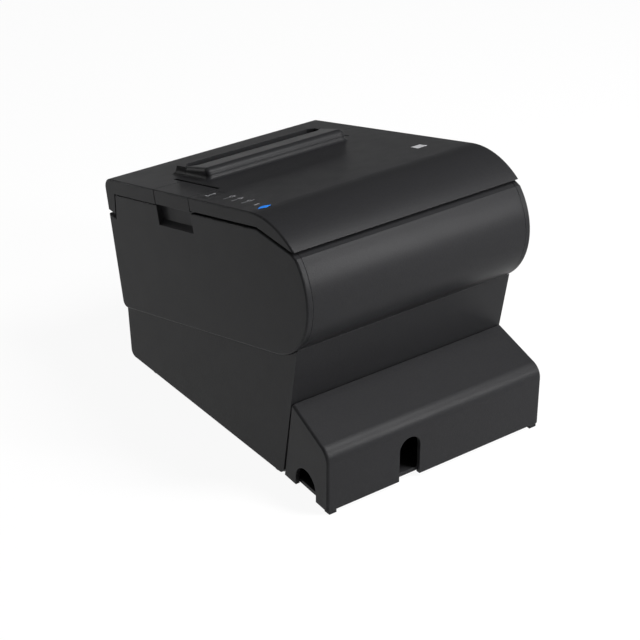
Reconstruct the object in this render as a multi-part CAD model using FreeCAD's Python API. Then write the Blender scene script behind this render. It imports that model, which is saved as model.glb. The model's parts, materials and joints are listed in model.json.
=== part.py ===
import FreeCAD, Part
import math
import os

# Thermal receipt printer for 80 mm paper, on its rubber feet, with its cable cover fitted.
# Frame: millimetres, Z up, origin under the middle of the whole printer.
# The cable cover and the bulged customer panel face -Y, the paper exit and the operator face +Y.
# Sizes named TOP_ or ending in _T and _H are measured in the plane of the sloped top:
# t runs down the slope towards the operator, h stands square to the slope.

V = FreeCAD.Vector

# Overall case
CASE_WIDTH = 145.0
LOWER_INSET = 2.25
WALL = 2.5
SEAM = 0.4
EDGE_ROUND = 1.0
FLOOR_Z = 2.2
FOOT_HEIGHT = 2.2

# Sloped top
TOP_TILT = 13.81
TOP_MID_Z = 136.3
CREST_RADIUS = 45.5
LIP_OVER = 1.6
LIP_GAP = 3.0
SIDE_TOP_DROP = 8.6
SIDE_TURN_Y = -47.2

# Operator end face
FACE_TOP_Y = 105.65
FACE_TOP_Z = 105.3
FACE_LEAN = 10.7
FACE_CORNER_ROUND = 6.0
FACE_FOOT_ROUND = 4.0

# Side covers and bulged customer panel
BULGE_Y = -52.65
BULGE_Z = 110.75
BULGE_RADIUS = 36.9
SEAM_FAR_Y = 92.3
SEAM_FAR_Z = 33.7
COVER_RIM = 3.4
COVER_ROUND = 1.5
LEDGE_Z = 135.8
LEDGE_DEPTH = 4.2
LEDGE_RISE = 20.0

# Lower case
LOWER_FRONT_FOOT_Y = -64.0
LOWER_FRONT_LEAN = 9.5
LOWER_BACK_Y = 90.0
LOWER_BACK_LEAN = 3.0
LOWER_ROUND = 4.0

# Cable cover
COVER_FRONT_Y = -105.65
COVER_TOP_Z = 49.6
COVER_SLOPE = 21.7
COVER_BEND = 9.0
COVER_GAP = 1.0
COVER_INSET = 0.5
COVER_CORNER = 1.4
COVER_LIFT = 2.2
SIDE_NOTCH_Y = -85.15
SIDE_NOTCH_WIDTH = 19.0
SIDE_NOTCH_HEIGHT = 16.4
FRONT_NOTCH_X = -18.8
FRONT_NOTCH_WIDTH = 13.6
FRONT_NOTCH_HEIGHT = 27.3
COVER_PLATE_THICK = 2.2
COVER_PAD = 4.5
HOOK_X = 38.0
HOOK_WIDTH = 9.0
HOOK_Z = 41.0

# Lid, cutter cover and paper exit rim
LID_END_T = 62.0
LID_SKIRT = 7.2
LID_WALL = 2.5
SLIT_INSET = 20.1
SLIT_WIDTH = 1.9
NOTCH_INSET = 19.5
NOTCH_WIDTH = 1.0
NOTCH_T = 45.5
NOTCH_LENGTH = 5.0
EXIT_INSET = 28.7
EXIT_WALL = 2.4
EXIT_CHAMFER = 3.4
EXIT_NEAR_T = 56.3
EXIT_FAR_T = 68.3
RIM_SEAM_H = 5.0
RIM_CREST_H = 6.4
RIM_CREST_T = 42.6
RIM_NEAR_T = 38.3
RIM_ROUND = 3.6
RIM_END_ROUND = 2.2
RIM_BASE_ROUND = 2.4
RIM_BACK_RUN = 3.2
CUTTER_FLAP_Z = 92.3
CUTTER_GRIP_GAP = 2.5
CUTTER_STRIP = 8.4
CUTTER_SKIRT = 8.2

# Cover-open lever, finger recess and feed button
LEVER_NEAR_T = 17.4
LEVER_FAR_T = 53.6
LEVER_SKIRT = 8.0
LEVER_PIVOT_INSET = 15.9
LEVER_PIVOT_H = -4.6
LEVER_PIN_RADIUS = 1.2
LEVER_HUB = 2.8
LEVER_ARM_INSET = 21.6
LEVER_EDGE = 0.5
CRANK_GAP = 0.6
LEVER_ARM_T = 50.0
LEVER_ARM_HALF = 3.4
LEVER_ARM_DROP = 2.4
LEVER_ARM_THICK = 3.0
EAR_THICK = 1.8
RECESS_DROP = 19.8
RECESS_DEPTH = 3.2
RECESS_TAPER = 2.7
BUTTON_INSET = 4.5
BUTTON_WIDTH = 11.0
BUTTON_NEAR_T = 4.4
BUTTON_FAR_T = 14.8
BUTTON_GAP = 0.3
LENS_INSET = 9.5
LENS_TS = (-5.4, -13.4, -22.6)
LENS_SIZE = (3.4, 1.5)
CONTROL_BOARD_H = -6.6
CONTROL_BOSS_TS = (-29.0, 1.0)
CONTROL_BOARD_INSET = 4.5
CONTROL_BOARD_WIDTH = 12.0
CONTROL_BOARD_NEAR_T = -32.5
CONTROL_BOARD_FAR_T = 12.0

# Lid hinge
HINGE_INSET = 11.9
HINGE_Z = 110.0
HINGE_PIN_RADIUS = 2.5
RUN_CLEARANCE = 0.05
ARM_INSET = 22.5
ARM_THICK = 4.0
ARM_KNEE_Y = -44.5
ARM_KNEE_Z = 102.0
ARM_WIDTH = 7.0
ARM_HUB = 6.0

# Mechanism frame and paper bay
CHEEK_INSET = 25.5
SHEET = 1.5
FRAME_BASE_Z = 42.0
FRAME_NEAR_Y = -62.0
FRAME_FAR_Y = 78.0
BAY_LIFT = 1.0
BAY_SETBACK = 4.0
BAY_RADIUS = 43.5
BAY_WALL = 2.0
BAY_INSET = 31.0
POST_INSET = 36.5
POST_RADIUS = 4.5
SCREW_RADIUS = 1.5
FOOT_RADIUS = 5.0
FOOT_INSET = 8.5
FOOT_YS = (-56.0, 67.0)

# Platen, gears, print head
PLATEN_Y = 49.45
PLATEN_Z = 103.5
PLATEN_RADIUS = 6.0
PLATEN_INSET = 32.5
SHAFT_RADIUS = 3.0
GEAR_MODULE = 0.8
TIP_HEIGHT = 0.9
ROOT_DEPTH = 1.25
ROOT_SHARE = 0.36
PITCH_SHARE = 0.225
TIP_SHARE = 0.10
GEAR_INSET = 21.5
GEAR_THICK = 4.0
PLATEN_TEETH = 24
IDLER_TEETH = 28
IDLER_RING = (4.2, 8.2)
PINION_TEETH = 12
HEAD_ANGLE = -25.0
HEAD_GAP = 0.3
MOTOR_RADIUS = 17.5
MOTOR_DEPTH = 20.0
MOTOR_ANGLE = -70.0
MOTOR_BOSS_RADIUS = 5.0
IDLER_POST_RADIUS = 2.0
HEAD_INSET = 31.5
HEAD_PIN_RADIUS = 1.5
HEAD_PIN_PLACE = (9.0, -11.0)
HEAD_HUB = 3.2
FIN_COUNT = 4
FIN_FIRST = -6.5
FIN_STEP = 3.9
FIN_THICK = 1.2
FIN_HEIGHT = 8.0
CARRIER_INSET = 29.0
CARRIER_THICK = 2.5
CARRIER_NEAR_T = 26.0
CARRIER_CHEEK_T = 38.0
SHELF_NEAR_T = 44.0
SHELF_THICK = 2.6
BUSH_RADIUS = 5.0
BUSH_FLANGE = 1.2
LOCK_Y = 36.0
LOCK_Z = 88.0
LOCK_RADIUS = 2.5

# Cutter
BLADE_H = -8.1
BLADE_THICK = 0.8
BLADE_GAP = 0.3
BLADE_INSET = 30.5
FIXED_NEAR_T = 46.0
BLADE_EDGE_T = 66.3
BLADE_VEE = 2.0
FIXED_EDGE_T = 61.3
RACK_TEETH = 9
RACK_THICK = 2.0
GUIDE_DEPTH = 5.0
CUTTER_PLATE_H = -11.2
CUTTER_NEAR_T = 64.5
CUTTER_FAR_T = 97.0
CUTTER_PINION_X = 15.2
CUTTER_PINION_T = 84.0
CUTTER_PHASE = 15.0
CUTTER_MOTOR_RADIUS = 8.0

# Circuit board and sockets
BOARD_Z = 15.0
BOARD_THICK = 1.6
BOARD_INSET = 12.5
BOARD_POST_RADIUS = 3.5
BOARD_POST_INSET = 6.0
BOARD_NEAR_Y = -60.0
BOARD_FAR_Y = 64.0
BOARD_CHIPS = ((-20.0, 0.0, -10.0, 10.0, 2.6), (12.0, 30.0, 20.0, 34.0, 2.2), (-48.0, -36.0, 20.0, 44.0, 9.0))
SOCKET_FRONT_Y = -69.5
SOCKET_DEPTH = 17.0
SOCKETS = {
    "power_inlet": (-42.0, 16.0, 14.0),
    "drawer_jack": (-16.0, 13.5, 12.5),
    "usb_port": (9.0, 12.0, 11.0),
    "network_jack": (37.0, 16.0, 13.5),
}
SOCKET_MOUTHS = {
    "power_inlet": (11.0, 9.0, 10.0),
    "drawer_jack": (9.8, 7.6, 12.0),
    "usb_port": (8.4, 7.8, 9.0),
    "network_jack": (11.8, 8.6, 12.0),
}

# Power switch
SWITCH_INSET = 15.0
SWITCH_Z = 58.0
SWITCH_SIZE = (13.0, 19.0)
SWITCH_DEPTH = 9.0
SWITCH_WALL = 2.0
SWITCH_BEZEL = 1.5
ROCKER_TILT = 7.0
ROCKER_PIVOT = 2.0

# Places across the printer, measured from the outside of the case
HALF = CASE_WIDTH / 2
LOW_HALF = HALF - LOWER_INSET
HOOD_HALF = HALF - COVER_INSET
SLIT_X = SLIT_INSET - HALF
NOTCH_X = HALF - NOTCH_INSET
EXIT_HALF = HALF - EXIT_INSET
LEVER_PIVOT_X = LEVER_PIVOT_INSET - HALF
LEVER_ARM_X = LEVER_ARM_INSET - HALF
BUTTON_NEAR_X = BUTTON_INSET - HALF
BUTTON_FAR_X = BUTTON_NEAR_X + BUTTON_WIDTH
LENS_X = LENS_INSET - HALF
ARM_X = HALF - ARM_INSET
CHEEK_X = HALF - CHEEK_INSET
BAY_HALF = HALF - BAY_INSET
POST_X = HALF - POST_INSET
FOOT_X = HALF - FOOT_INSET
PLATEN_HALF = HALF - PLATEN_INSET
GEAR_X = HALF - GEAR_INSET
HEAD_HALF = HALF - HEAD_INSET
CARRIER_X = HALF - CARRIER_INSET
BLADE_HALF = HALF - BLADE_INSET
BOARD_HALF = HALF - BOARD_INSET
SWITCH_X = SWITCH_INSET - HALF

# The paper bay stands on the frame and clears the lock shaft
BAY_Y = LOCK_Y - LOCK_RADIUS - BAY_SETBACK - BAY_RADIUS - BAY_WALL
BAY_Z = FRAME_BASE_Z + SHEET + BAY_LIFT + BAY_WALL + BAY_RADIUS

# The hinge, the ledge and the lid's lip go with the bulged panel
HINGE_Y = BULGE_Y - BULGE_RADIUS + HINGE_INSET
LEDGE_Y = BULGE_Y - math.sqrt(BULGE_RADIUS ** 2 - (LEDGE_Z - BULGE_Z) ** 2)
LIP_Y = LEDGE_Y + LIP_OVER
LIP_Z = LEDGE_Z + LIP_GAP
TILT_SIN = math.sin(math.radians(TOP_TILT))
TILT_COS = math.cos(math.radians(TOP_TILT))


def at_top(t, h):
    """(y, z) of the point t down the slope and h above it."""
    return (t * TILT_COS + h * TILT_SIN, TOP_MID_Z - t * TILT_SIN + h * TILT_COS)


def in_top(y, z):
    """(t, h) of the point (y, z)."""
    dz = z - TOP_MID_Z
    return (y * TILT_COS - dz * TILT_SIN, y * TILT_SIN + dz * TILT_COS)


def on_slope(shape):
    """Carry a shape drawn flat, with t along Y and h along Z, onto the sloped top."""
    turned = shape.copy()
    turned.rotate(V(0, 0, 0), V(1, 0, 0), -TOP_TILT)
    turned.translate(V(0, 0, TOP_MID_Z))
    return turned


def off_slope(shape):
    """Carry a shape from the sloped top back to where it is drawn flat."""
    flat = shape.copy()
    flat.translate(V(0, 0, -TOP_MID_Z))
    flat.rotate(V(0, 0, 0), V(1, 0, 0), TOP_TILT)
    return flat


def face_y(z):
    """y of the operator end face at height z."""
    return FACE_TOP_Y + (z - FACE_TOP_Z) * math.tan(math.radians(FACE_LEAN))


def seam_slope():
    """Fall of the seam between the upper and lower case, which leaves the bulge as its tangent."""
    dy, dz = SEAM_FAR_Y - BULGE_Y, SEAM_FAR_Z - BULGE_Z
    return -math.atan2(dz, dy) - math.asin(BULGE_RADIUS / math.hypot(dy, dz))


def seam_z(y):
    """Height of the seam between the upper and lower case at y."""
    return SEAM_FAR_Z + (SEAM_FAR_Y - y) * math.tan(seam_slope())


def front_y(z):
    """y of the undercut front of the lower case at height z."""
    return LOWER_FRONT_FOOT_Y - (z - FLOOR_Z) * math.tan(math.radians(LOWER_FRONT_LEAN))


def back_y(z):
    """y of the operator end of the lower case at height z."""
    return LOWER_BACK_Y + (z - FLOOR_Z) * math.tan(math.radians(LOWER_BACK_LEAN))


def outline(start, *moves):
    """Closed wire in the plane x = 0; a move is a (y, z) point or (via, end) for an arc."""
    edges = []
    here = start
    for move in moves + (start,):
        if isinstance(move[0], tuple):
            via, end = move
            arc = Part.Arc(V(0, *here), V(0, *via), V(0, *end))
            edges.append(arc.toShape())
            here = end
        elif math.dist(here, move) > 1e-6:
            edges.append(Part.LineSegment(V(0, *here), V(0, *move)).toShape())
            here = move
    return Part.Wire(edges)


def prism(wire, x0, x1):
    """Solid between x0 and x1 with the given (y, z) outline."""
    solid = Part.Face(wire).extrude(V(x1 - x0, 0, 0))
    solid.translate(V(x0, 0, 0))
    return solid


def block(x0, x1, y0, y1, z0, z1):
    """Box between two corners."""
    return Part.makeBox(x1 - x0, y1 - y0, z1 - z0, V(x0, y0, z0))


def rod_x(y, z, radius, x0, x1):
    """Round bar along X."""
    return Part.makeCylinder(radius, x1 - x0, V(x0, y, z), V(1, 0, 0))


def rod_z(x, y, radius, z0, z1):
    """Round bar along Z."""
    return Part.makeCylinder(radius, z1 - z0, V(x, y, z0))


def round_at(shape, places, radius):
    """Round the edges along X that pass through the given (y, z) places."""
    picked = []
    for edge in shape.Edges:
        ends = [v.Point for v in edge.Vertexes]
        if len(ends) != 2 or math.dist(ends[0][1:], ends[1][1:]) > 1e-4:
            continue
        if any(math.dist(ends[0][1:], place) < 0.05 for place in places):
            picked.append(edge)
    return shape.makeFillet(radius, picked)


def round_side(shape, x, radius, keep=None):
    """Round the edges that lie in the plane at x, or those that keep() accepts."""
    picked = []
    for edge in shape.Edges:
        box = edge.BoundBox
        if abs(box.XMin - x) < 1e-4 and abs(box.XMax - x) < 1e-4:
            if keep is None or keep(edge):
                picked.append(edge)
    return shape.makeFillet(radius, picked)


def round_upright(shape, places, radius):
    """Round the upright edges at the given (x, y) places."""
    picked = []
    for edge in shape.Edges:
        ends = [v.Point for v in edge.Vertexes]
        if len(ends) != 2 or math.dist(ends[0][:2], ends[1][:2]) > 1e-4:
            continue
        if any(math.dist(ends[0][:2], place) < 0.05 for place in places):
            picked.append(edge)
    return shape.makeFillet(radius, picked)


def mirrored(shape):
    """The same piece on the other side of the printer."""
    return shape.mirror(V(0, 0, 0), V(1, 0, 0))


def tooth_shape(root, pitch, tip):
    """Corners of one straight-sided tooth: how far out, and the share of the tooth pitch."""
    rising = [(root, -ROOT_SHARE), (pitch, -PITCH_SHARE), (tip, -TIP_SHARE)]
    return rising + [(out, -share) for out, share in reversed(rising)]


def gear(teeth, bore, x0, x1, phase=0.0):
    """Spur gear about the X axis, with straight-sided teeth and some backlash."""
    pitch = GEAR_MODULE * teeth / 2
    tip = pitch + TIP_HEIGHT * GEAR_MODULE
    root = pitch - ROOT_DEPTH * GEAR_MODULE
    step = 2 * math.pi / teeth
    points = []
    for tooth in range(teeth):
        middle = tooth * step + phase
        for radius, share in tooth_shape(root, pitch, tip):
            angle = middle + share * step
            points.append(V(0, radius * math.cos(angle), radius * math.sin(angle)))
    wheel = Part.Face(Part.makePolygon(points + points[:1])).extrude(V(x1 - x0, 0, 0))
    wheel.translate(V(x0, 0, 0))
    return wheel.cut(rod_x(0, 0, bore, x0 - 1, x1 + 1))


def at_yz(shape, y, z):
    """Move a piece drawn about the X axis to (y, z)."""
    shape.translate(V(0, y, z))
    return shape


def group(shapes):
    """Several separate solids in one node."""
    return Part.makeCompound(shapes)


# Case


def side_drop_z(y):
    """Height of the top edge of the side covers at y."""
    y0, z0 = at_top(0.0, -SIDE_TOP_DROP)
    return z0 - (y - y0) * math.tan(math.radians(TOP_TILT))


def side_outline():
    """Outline of a side cover, from the operator end round the bulge and along the seam."""
    strip_y = face_y(CUTTER_FLAP_Z) - CUTTER_STRIP
    grip_z = CUTTER_FLAP_Z - CUTTER_GRIP_GAP
    bottom = 1.5 * math.pi - seam_slope()
    foot = (BULGE_Y + BULGE_RADIUS * math.cos(bottom), BULGE_Z + BULGE_RADIUS * math.sin(bottom))
    return outline(
        (SEAM_FAR_Y, seam_z(SEAM_FAR_Y)),
        (face_y(grip_z), grip_z),
        (strip_y, grip_z),
        (strip_y, side_drop_z(strip_y)),
        (SIDE_TURN_Y, side_drop_z(SIDE_TURN_Y)),
        ledge_end(),
        (LEDGE_Y, LEDGE_Z),
        (on_bulge(BULGE_RADIUS, BULGE_Z), foot),
    )


def side_cover():
    """Moulded side cover on the +X side, with a rim turned in all round."""
    wire = side_outline()
    cover = prism(wire, HALF - COVER_RIM, HALF)
    cover = round_at(cover, [(SEAM_FAR_Y, seam_z(SEAM_FAR_Y))], FACE_FOOT_ROUND)
    strip_y = face_y(CUTTER_FLAP_Z) - CUTTER_STRIP
    cover = round_at(cover, [(strip_y, side_drop_z(strip_y))], COVER_ROUND)
    cover = round_side(cover, HALF, EDGE_ROUND)
    hollow = wire.makeOffset2D(-WALL)
    return cover.cut(prism(hollow, HALF - COVER_RIM - 1, HALF - WALL))


def frustum(near, far):
    """Solid between two loops with the same number of points."""
    count = len(near)
    faces = [Part.Face(Part.makePolygon(loop + loop[:1])) for loop in (near, far)]
    for i in range(count):
        j = (i + 1) % count
        faces.append(Part.Face(Part.makePolygon([near[i], near[j], far[j], far[i], near[i]])))
    return Part.makeSolid(Part.makeShell(faces))


def recess_pocket(grow):
    """Tapered pocket under the lever, drawn flat; grow adds the wall round it."""
    loops = []
    for depth, inset in ((0.0, 0.0), (RECESS_DEPTH + grow, RECESS_TAPER)):
        x = -HALF + depth
        t0 = LEVER_NEAR_T - grow
        t1 = LEVER_FAR_T - SEAM + grow
        h0 = -RECESS_DROP + inset - grow
        h1 = -SIDE_TOP_DROP + 2 - grow
        loops.append([V(x, t0, h0), V(x, t1, h0), V(x, t1, h1), V(x, t0, h1)])
    return frustum(*loops)


def left_side_cover():
    """Side cover with the finger recess under the lever."""
    cover = mirrored(side_cover())
    room = block(-HALF + WALL - 0.5, -HALF + 20, -60, 120, -60, -SIDE_TOP_DROP)
    backing = on_slope(recess_pocket(WALL - 0.5).common(room))
    cover = cover.fuse(backing).removeSplitter()
    return cover.cut(on_slope(recess_pocket(0.0)))


def ledge_end():
    """Inner end of the ledge on top of the customer panel."""
    rise = math.radians(LEDGE_RISE)
    return (LEDGE_Y + LEDGE_DEPTH * math.cos(rise), LEDGE_Z + LEDGE_DEPTH * math.sin(rise))


def on_bulge(radius, z):
    """(y, z) on the customer side of the circle about the bulge centre."""
    return (BULGE_Y - math.sqrt(radius ** 2 - (z - BULGE_Z) ** 2), z)


def panel_half():
    """Half width of the panels set between the two side covers."""
    return HALF - COVER_RIM - SEAM / 2


def customer_panel():
    """Bulged panel set between the side covers, with a ledge under the lid lip."""
    inner = BULGE_RADIUS - WALL
    foot_z = on_front_z() + SEAM
    end_y, end_z = ledge_end()
    wire = outline(
        (LEDGE_Y, LEDGE_Z),
        (on_bulge(BULGE_RADIUS, BULGE_Z), on_bulge(BULGE_RADIUS, foot_z)),
        (on_bulge(BULGE_RADIUS, foot_z)[0] + 7.0, foot_z),
        (on_bulge(BULGE_RADIUS, foot_z)[0] + 7.0, foot_z + WALL),
        on_bulge(inner, foot_z + WALL),
        (on_bulge(inner, BULGE_Z), on_bulge(inner, LEDGE_Z - WALL)),
        (end_y, end_z - WALL),
        (end_y, end_z),
    )
    half = panel_half()
    return prism(wire, -half, half)


def on_front_z():
    """Height where the undercut front of the lower case meets the bulge."""
    z = BULGE_Z - 0.75 * BULGE_RADIUS
    for _ in range(30):
        reach = BULGE_RADIUS ** 2 - (front_y(z) - BULGE_Y) ** 2
        z = BULGE_Z - math.sqrt(reach)
    return z


def operator_panel():
    """Flat end panel on the operator side, with the opening for the power switch."""
    low = SEAM_FAR_Z + FACE_FOOT_ROUND
    high = CUTTER_FLAP_Z - CUTTER_GRIP_GAP
    lip = 6.0
    wire = outline(
        (face_y(low), low),
        (face_y(high), high),
        (face_y(high) - lip, high),
        (face_y(high) - lip, high - WALL),
        (face_y(high - WALL) - WALL, high - WALL),
        (face_y(low + WALL) - WALL, low + WALL),
        (face_y(low) - lip, low + WALL),
        (face_y(low) - lip, low),
    )
    half = panel_half()
    panel = prism(wire, -half, half)
    width, height = SWITCH_SIZE
    hole = block(-width / 2, width / 2, -10, 10, -height / 2, height / 2)
    return panel.cut(on_face(hole))


def switch_frame():
    """Power switch body behind the operator panel, with a bezel that sits on it."""
    width, height = SWITCH_SIZE
    tall = 20.0
    def plate(grow, y0, y1):
        x, z = width / 2 + grow, height / 2 + grow
        return block(-x, x, y0, y1, -z, z)

    body = plate(-SEAM / 2, -SWITCH_DEPTH, 0)
    bezel = plate(SWITCH_BEZEL, 0, 1.0)
    well = plate(-SWITCH_WALL, -SWITCH_DEPTH + SWITCH_WALL, tall)
    return on_face(body.fuse(bezel).removeSplitter().cut(well))


def on_face(shape):
    """Carry a shape drawn with its front at y = 0 onto the operator face at the switch."""
    placed = shape.copy()
    placed.rotate(V(0, 0, 0), V(1, 0, 0), -FACE_LEAN)
    placed.translate(V(SWITCH_X, face_y(SWITCH_Z), SWITCH_Z))
    return placed


def power_rocker():
    """Rocker tilted to its off side; its pivot lies across the switch."""
    width, height = SWITCH_SIZE
    half = width / 2 - SWITCH_WALL - SEAM
    tall = height / 2 - SWITCH_WALL - 3 * SEAM
    wire = outline(
        (-3.0, -tall),
        (1.0, -tall),
        (0.0, 0.0),
        (1.0, tall),
        (-3.0, tall),
    )
    rocker = prism(wire, -half, half)
    rocker.rotate(V(0, -ROCKER_PIVOT, 0), V(1, 0, 0), -ROCKER_TILT)
    return on_face(rocker)


def lower_case():
    """Tub under the whole printer, with posts, socket windows and hook slots."""
    top = on_front_z()
    far = 1.5 * math.pi - seam_slope()
    ring = BULGE_RADIUS + SEAM
    foot = (BULGE_Y + ring * math.cos(far), BULGE_Z + ring * math.sin(far))
    front_top = (front_y(top - SEAM), top - SEAM)
    near = math.atan2(front_top[1] - BULGE_Z, front_top[0] - BULGE_Y) % (2 * math.pi)
    middle = (near + far) / 2
    bend = (BULGE_Y + ring * math.cos(middle), BULGE_Z + ring * math.sin(middle))
    back_top = seam_z(LOWER_BACK_Y) - SEAM
    wire = outline(
        (front_y(FLOOR_Z), FLOOR_Z),
        (back_y(FLOOR_Z), FLOOR_Z),
        (back_y(back_top), back_top - 0.6),
        (SEAM_FAR_Y - 12.0, seam_z(SEAM_FAR_Y - 12.0) - SEAM),
        foot,
        (bend, front_top),
    )
    case = prism(wire, -LOW_HALF, LOW_HALF)
    corners = [(front_y(FLOOR_Z), FLOOR_Z), (back_y(FLOOR_Z), FLOOR_Z)]
    case = round_at(case, corners, LOWER_ROUND)
    ceiling = 100.0
    floor = FLOOR_Z + WALL
    hollow = outline(
        (front_y(floor) + WALL, floor),
        (back_y(floor) - WALL, floor),
        (back_y(ceiling) - WALL, ceiling),
        (front_y(ceiling) + WALL, ceiling),
    )
    case = case.cut(prism(hollow, -LOW_HALF + WALL, LOW_HALF - WALL))
    for x, y in board_posts():
        case = case.fuse(rod_z(x, y, BOARD_POST_RADIUS, FLOOR_Z + 1, BOARD_Z))
    for x, y in frame_posts():
        case = case.fuse(rod_z(x, y, POST_RADIUS, FLOOR_Z + 1, FRAME_BASE_Z))
        case = case.cut(rod_z(x, y, SCREW_RADIUS + RUN_CLEARANCE, FRAME_BASE_Z - 9, FRAME_BASE_Z + 1))
    case = case.removeSplitter()
    z = BOARD_Z + BOARD_THICK
    for x, width, height in SOCKETS.values():
        window = block(x - width / 2 - SEAM, x + width / 2 + SEAM, -90, -58, z - SEAM, z + height + SEAM)
        case = case.cut(window)
    for x in (-HOOK_X, HOOK_X):
        case = case.cut(hook_block(x, SEAM))
    return case


def hook_block(x, grow):
    """Hook of the cable cover, or its slot when grown."""
    half = HOOK_WIDTH / 2 + grow
    y = front_y(HOOK_Z)
    return block(x - half, x + half, y - 12, y + WALL + 2 + grow, HOOK_Z - grow, HOOK_Z + 2 + grow)


def board_posts():
    """Places of the posts under the circuit board."""
    x = BOARD_HALF - BOARD_POST_INSET
    return [(side, y) for side in (-x, x) for y in (BOARD_NEAR_Y + 20, BOARD_FAR_Y - BOARD_POST_INSET)]


def frame_posts():
    """Places of the posts under the mechanism frame."""
    return [(x, y) for x in (-POST_X, POST_X) for y in (FRAME_NEAR_Y + 16, FRAME_FAR_Y - 6)]


def rubber_feet():
    """Four round feet under the lower case."""
    feet = []
    for x in (-FOOT_X, FOOT_X):
        for y in FOOT_YS:
            foot = Part.makeCylinder(FOOT_RADIUS, FOOT_HEIGHT, V(x, y, FLOOR_Z - FOOT_HEIGHT))
            low = [e for e in foot.Edges if abs(e.BoundBox.ZMax - (FLOOR_Z - FOOT_HEIGHT)) < 1e-4]
            feet.append(foot.makeFillet(0.6, low))
    return group(feet)


def frame_screws():
    """Screws that hold the mechanism frame down on the posts."""
    screws = []
    top = FRAME_BASE_Z + SHEET
    for x, y in frame_posts():
        shank = rod_z(x, y, SCREW_RADIUS, top - 9, top + 0.5)
        head = Part.makeCone(3.0, 2.2, 1.8, V(x, y, top))
        screws.append(shank.fuse(head).removeSplitter())
    return group(screws)


# Cable cover


def hood_wire(inset, rear, low):
    """Side outline of the cable cover, or of the space in it; also the corner where it bends."""
    slope = math.tan(math.radians(COVER_SLOPE))
    top_y = front_y(COVER_TOP_Z) - COVER_GAP
    drop = inset / math.cos(math.radians(COVER_SLOPE))
    near = COVER_FRONT_Y + inset
    corner = (near, COVER_TOP_Z - drop - (top_y - near) * slope)
    wire = outline(
        (top_y + rear, COVER_TOP_Z - drop + rear * slope),
        corner,
        (near, low),
        (front_y(low) - COVER_GAP + rear, low),
    )
    return wire, corner


def arch_cut(width, height, depth):
    """Arched notch from the ground up, drawn about x = 0 and running along +Y."""
    radius = width / 2
    arch = Part.makeCylinder(radius, depth, V(0, 0, height - radius), V(0, 1, 0))
    return arch.fuse(block(-radius, radius, 0, depth, -1, height - radius)).removeSplitter()


def hood_half(y):
    """Half width of the cable cover at y; its ends flare towards the front."""
    rear = front_y(COVER_TOP_Z) - COVER_GAP
    return LOW_HALF + (HOOD_HALF - LOW_HALF) * (rear - y) / (rear - COVER_FRONT_Y)


def hood_plan(inset):
    """Upright block with the cable cover's plan, inset by a wall."""
    corners = []
    for side in (-1, 1):
        ys = (COVER_FRONT_Y - 9, LOWER_FRONT_FOOT_Y + 50)
        corners += [V(side * (hood_half(y) - inset), y, -9) for y in ys[::side]]
    return Part.Face(Part.makePolygon(corners + corners[:1])).extrude(V(0, 0, COVER_TOP_Z + 60))


def cable_cover():
    """Hood over the cables, open behind and below, with arched cable notches."""
    low = COVER_LIFT
    wire, corner = hood_wire(0.0, 0.0, low)
    hood = round_at(prism(wire, -HALF, HALF), [corner], COVER_BEND)
    hood = hood.common(hood_plan(0.0))

    def at_end(edge):
        middle = edge.valueAt((edge.FirstParameter + edge.LastParameter) / 2)
        outside = middle.z > low + 0.01 and middle.y < front_y(middle.z) - COVER_GAP - 0.05
        return outside and abs(abs(middle.x) - hood_half(middle.y)) < 1e-3

    hood = hood.makeFillet(COVER_CORNER, [e for e in hood.Edges if at_end(e)])
    wire, corner = hood_wire(WALL, 30.0, low - 5)
    space = round_at(prism(wire, -HALF, HALF), [corner], COVER_BEND - WALL)
    space = space.common(hood_plan(WALL))
    hood = hood.cut(space)
    front = arch_cut(FRONT_NOTCH_WIDTH, FRONT_NOTCH_HEIGHT, 4 * WALL)
    front.translate(V(FRONT_NOTCH_X, COVER_FRONT_Y - WALL, 0))
    ends = arch_cut(SIDE_NOTCH_WIDTH, SIDE_NOTCH_HEIGHT, 2 * CASE_WIDTH)
    ends.rotate(V(0, 0, 0), V(0, 0, 1), -90)
    ends.translate(V(-CASE_WIDTH, SIDE_NOTCH_Y, 0))
    hood = hood.cut(front).cut(ends)
    for x in (COVER_CORNER - HOOD_HALF, HOOD_HALF - COVER_CORNER - COVER_PAD):
        pad = block(x, x + COVER_PAD, COVER_FRONT_Y + 0.3, COVER_FRONT_Y + COVER_PAD, 0, low + 1)
        hood = hood.fuse(pad.cut(space.common(block(-HALF, HALF, COVER_FRONT_Y, 0, low, COVER_TOP_Z))))
    for x in (-HOOK_X, HOOK_X):
        y = front_y(HOOK_Z)
        web = block(x - HOOK_WIDTH / 2, x + HOOK_WIDTH / 2, y - 12, y - 5, HOOK_Z, COVER_TOP_Z)
        hood = hood.fuse(hook_block(x, 0).fuse(web.common(space)))
    return hood.removeSplitter()


def cable_cover_plate():
    """Plate across the bottom of the cable cover."""
    z = COVER_LIFT + 0.8
    near = COVER_FRONT_Y + WALL
    far = front_y(z + COVER_PLATE_THICK) - COVER_GAP
    return block(-HALF, HALF, near, far, z, z + COVER_PLATE_THICK).common(hood_plan(WALL))


# Lid and cutter cover


def lip_place():
    """Lid lip in slope coordinates, and where the crest arc meets the flat top."""
    t, h = in_top(LIP_Y, LIP_Z)
    depth = -h
    return t, h, t + math.sqrt(2 * CREST_RADIUS * depth - depth ** 2)


def lid_space(wall):
    """Inside of the lid, drawn flat, wall thick below its outer skin."""
    t, h, start = lip_place()
    radius = CREST_RADIUS - wall
    end_drop = -h - 1.6
    deep = -60.0
    side = HALF - wall
    wire = outline(
        (LID_END_T + 20, -wall),
        (start, -wall),
        (crest_arc(radius, wall + 4.0), crest_arc(radius, end_drop)),
        (crest_arc(radius, end_drop)[0], deep),
        (LID_END_T + 20, deep),
    )
    return prism(wire, -side, side)


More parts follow.
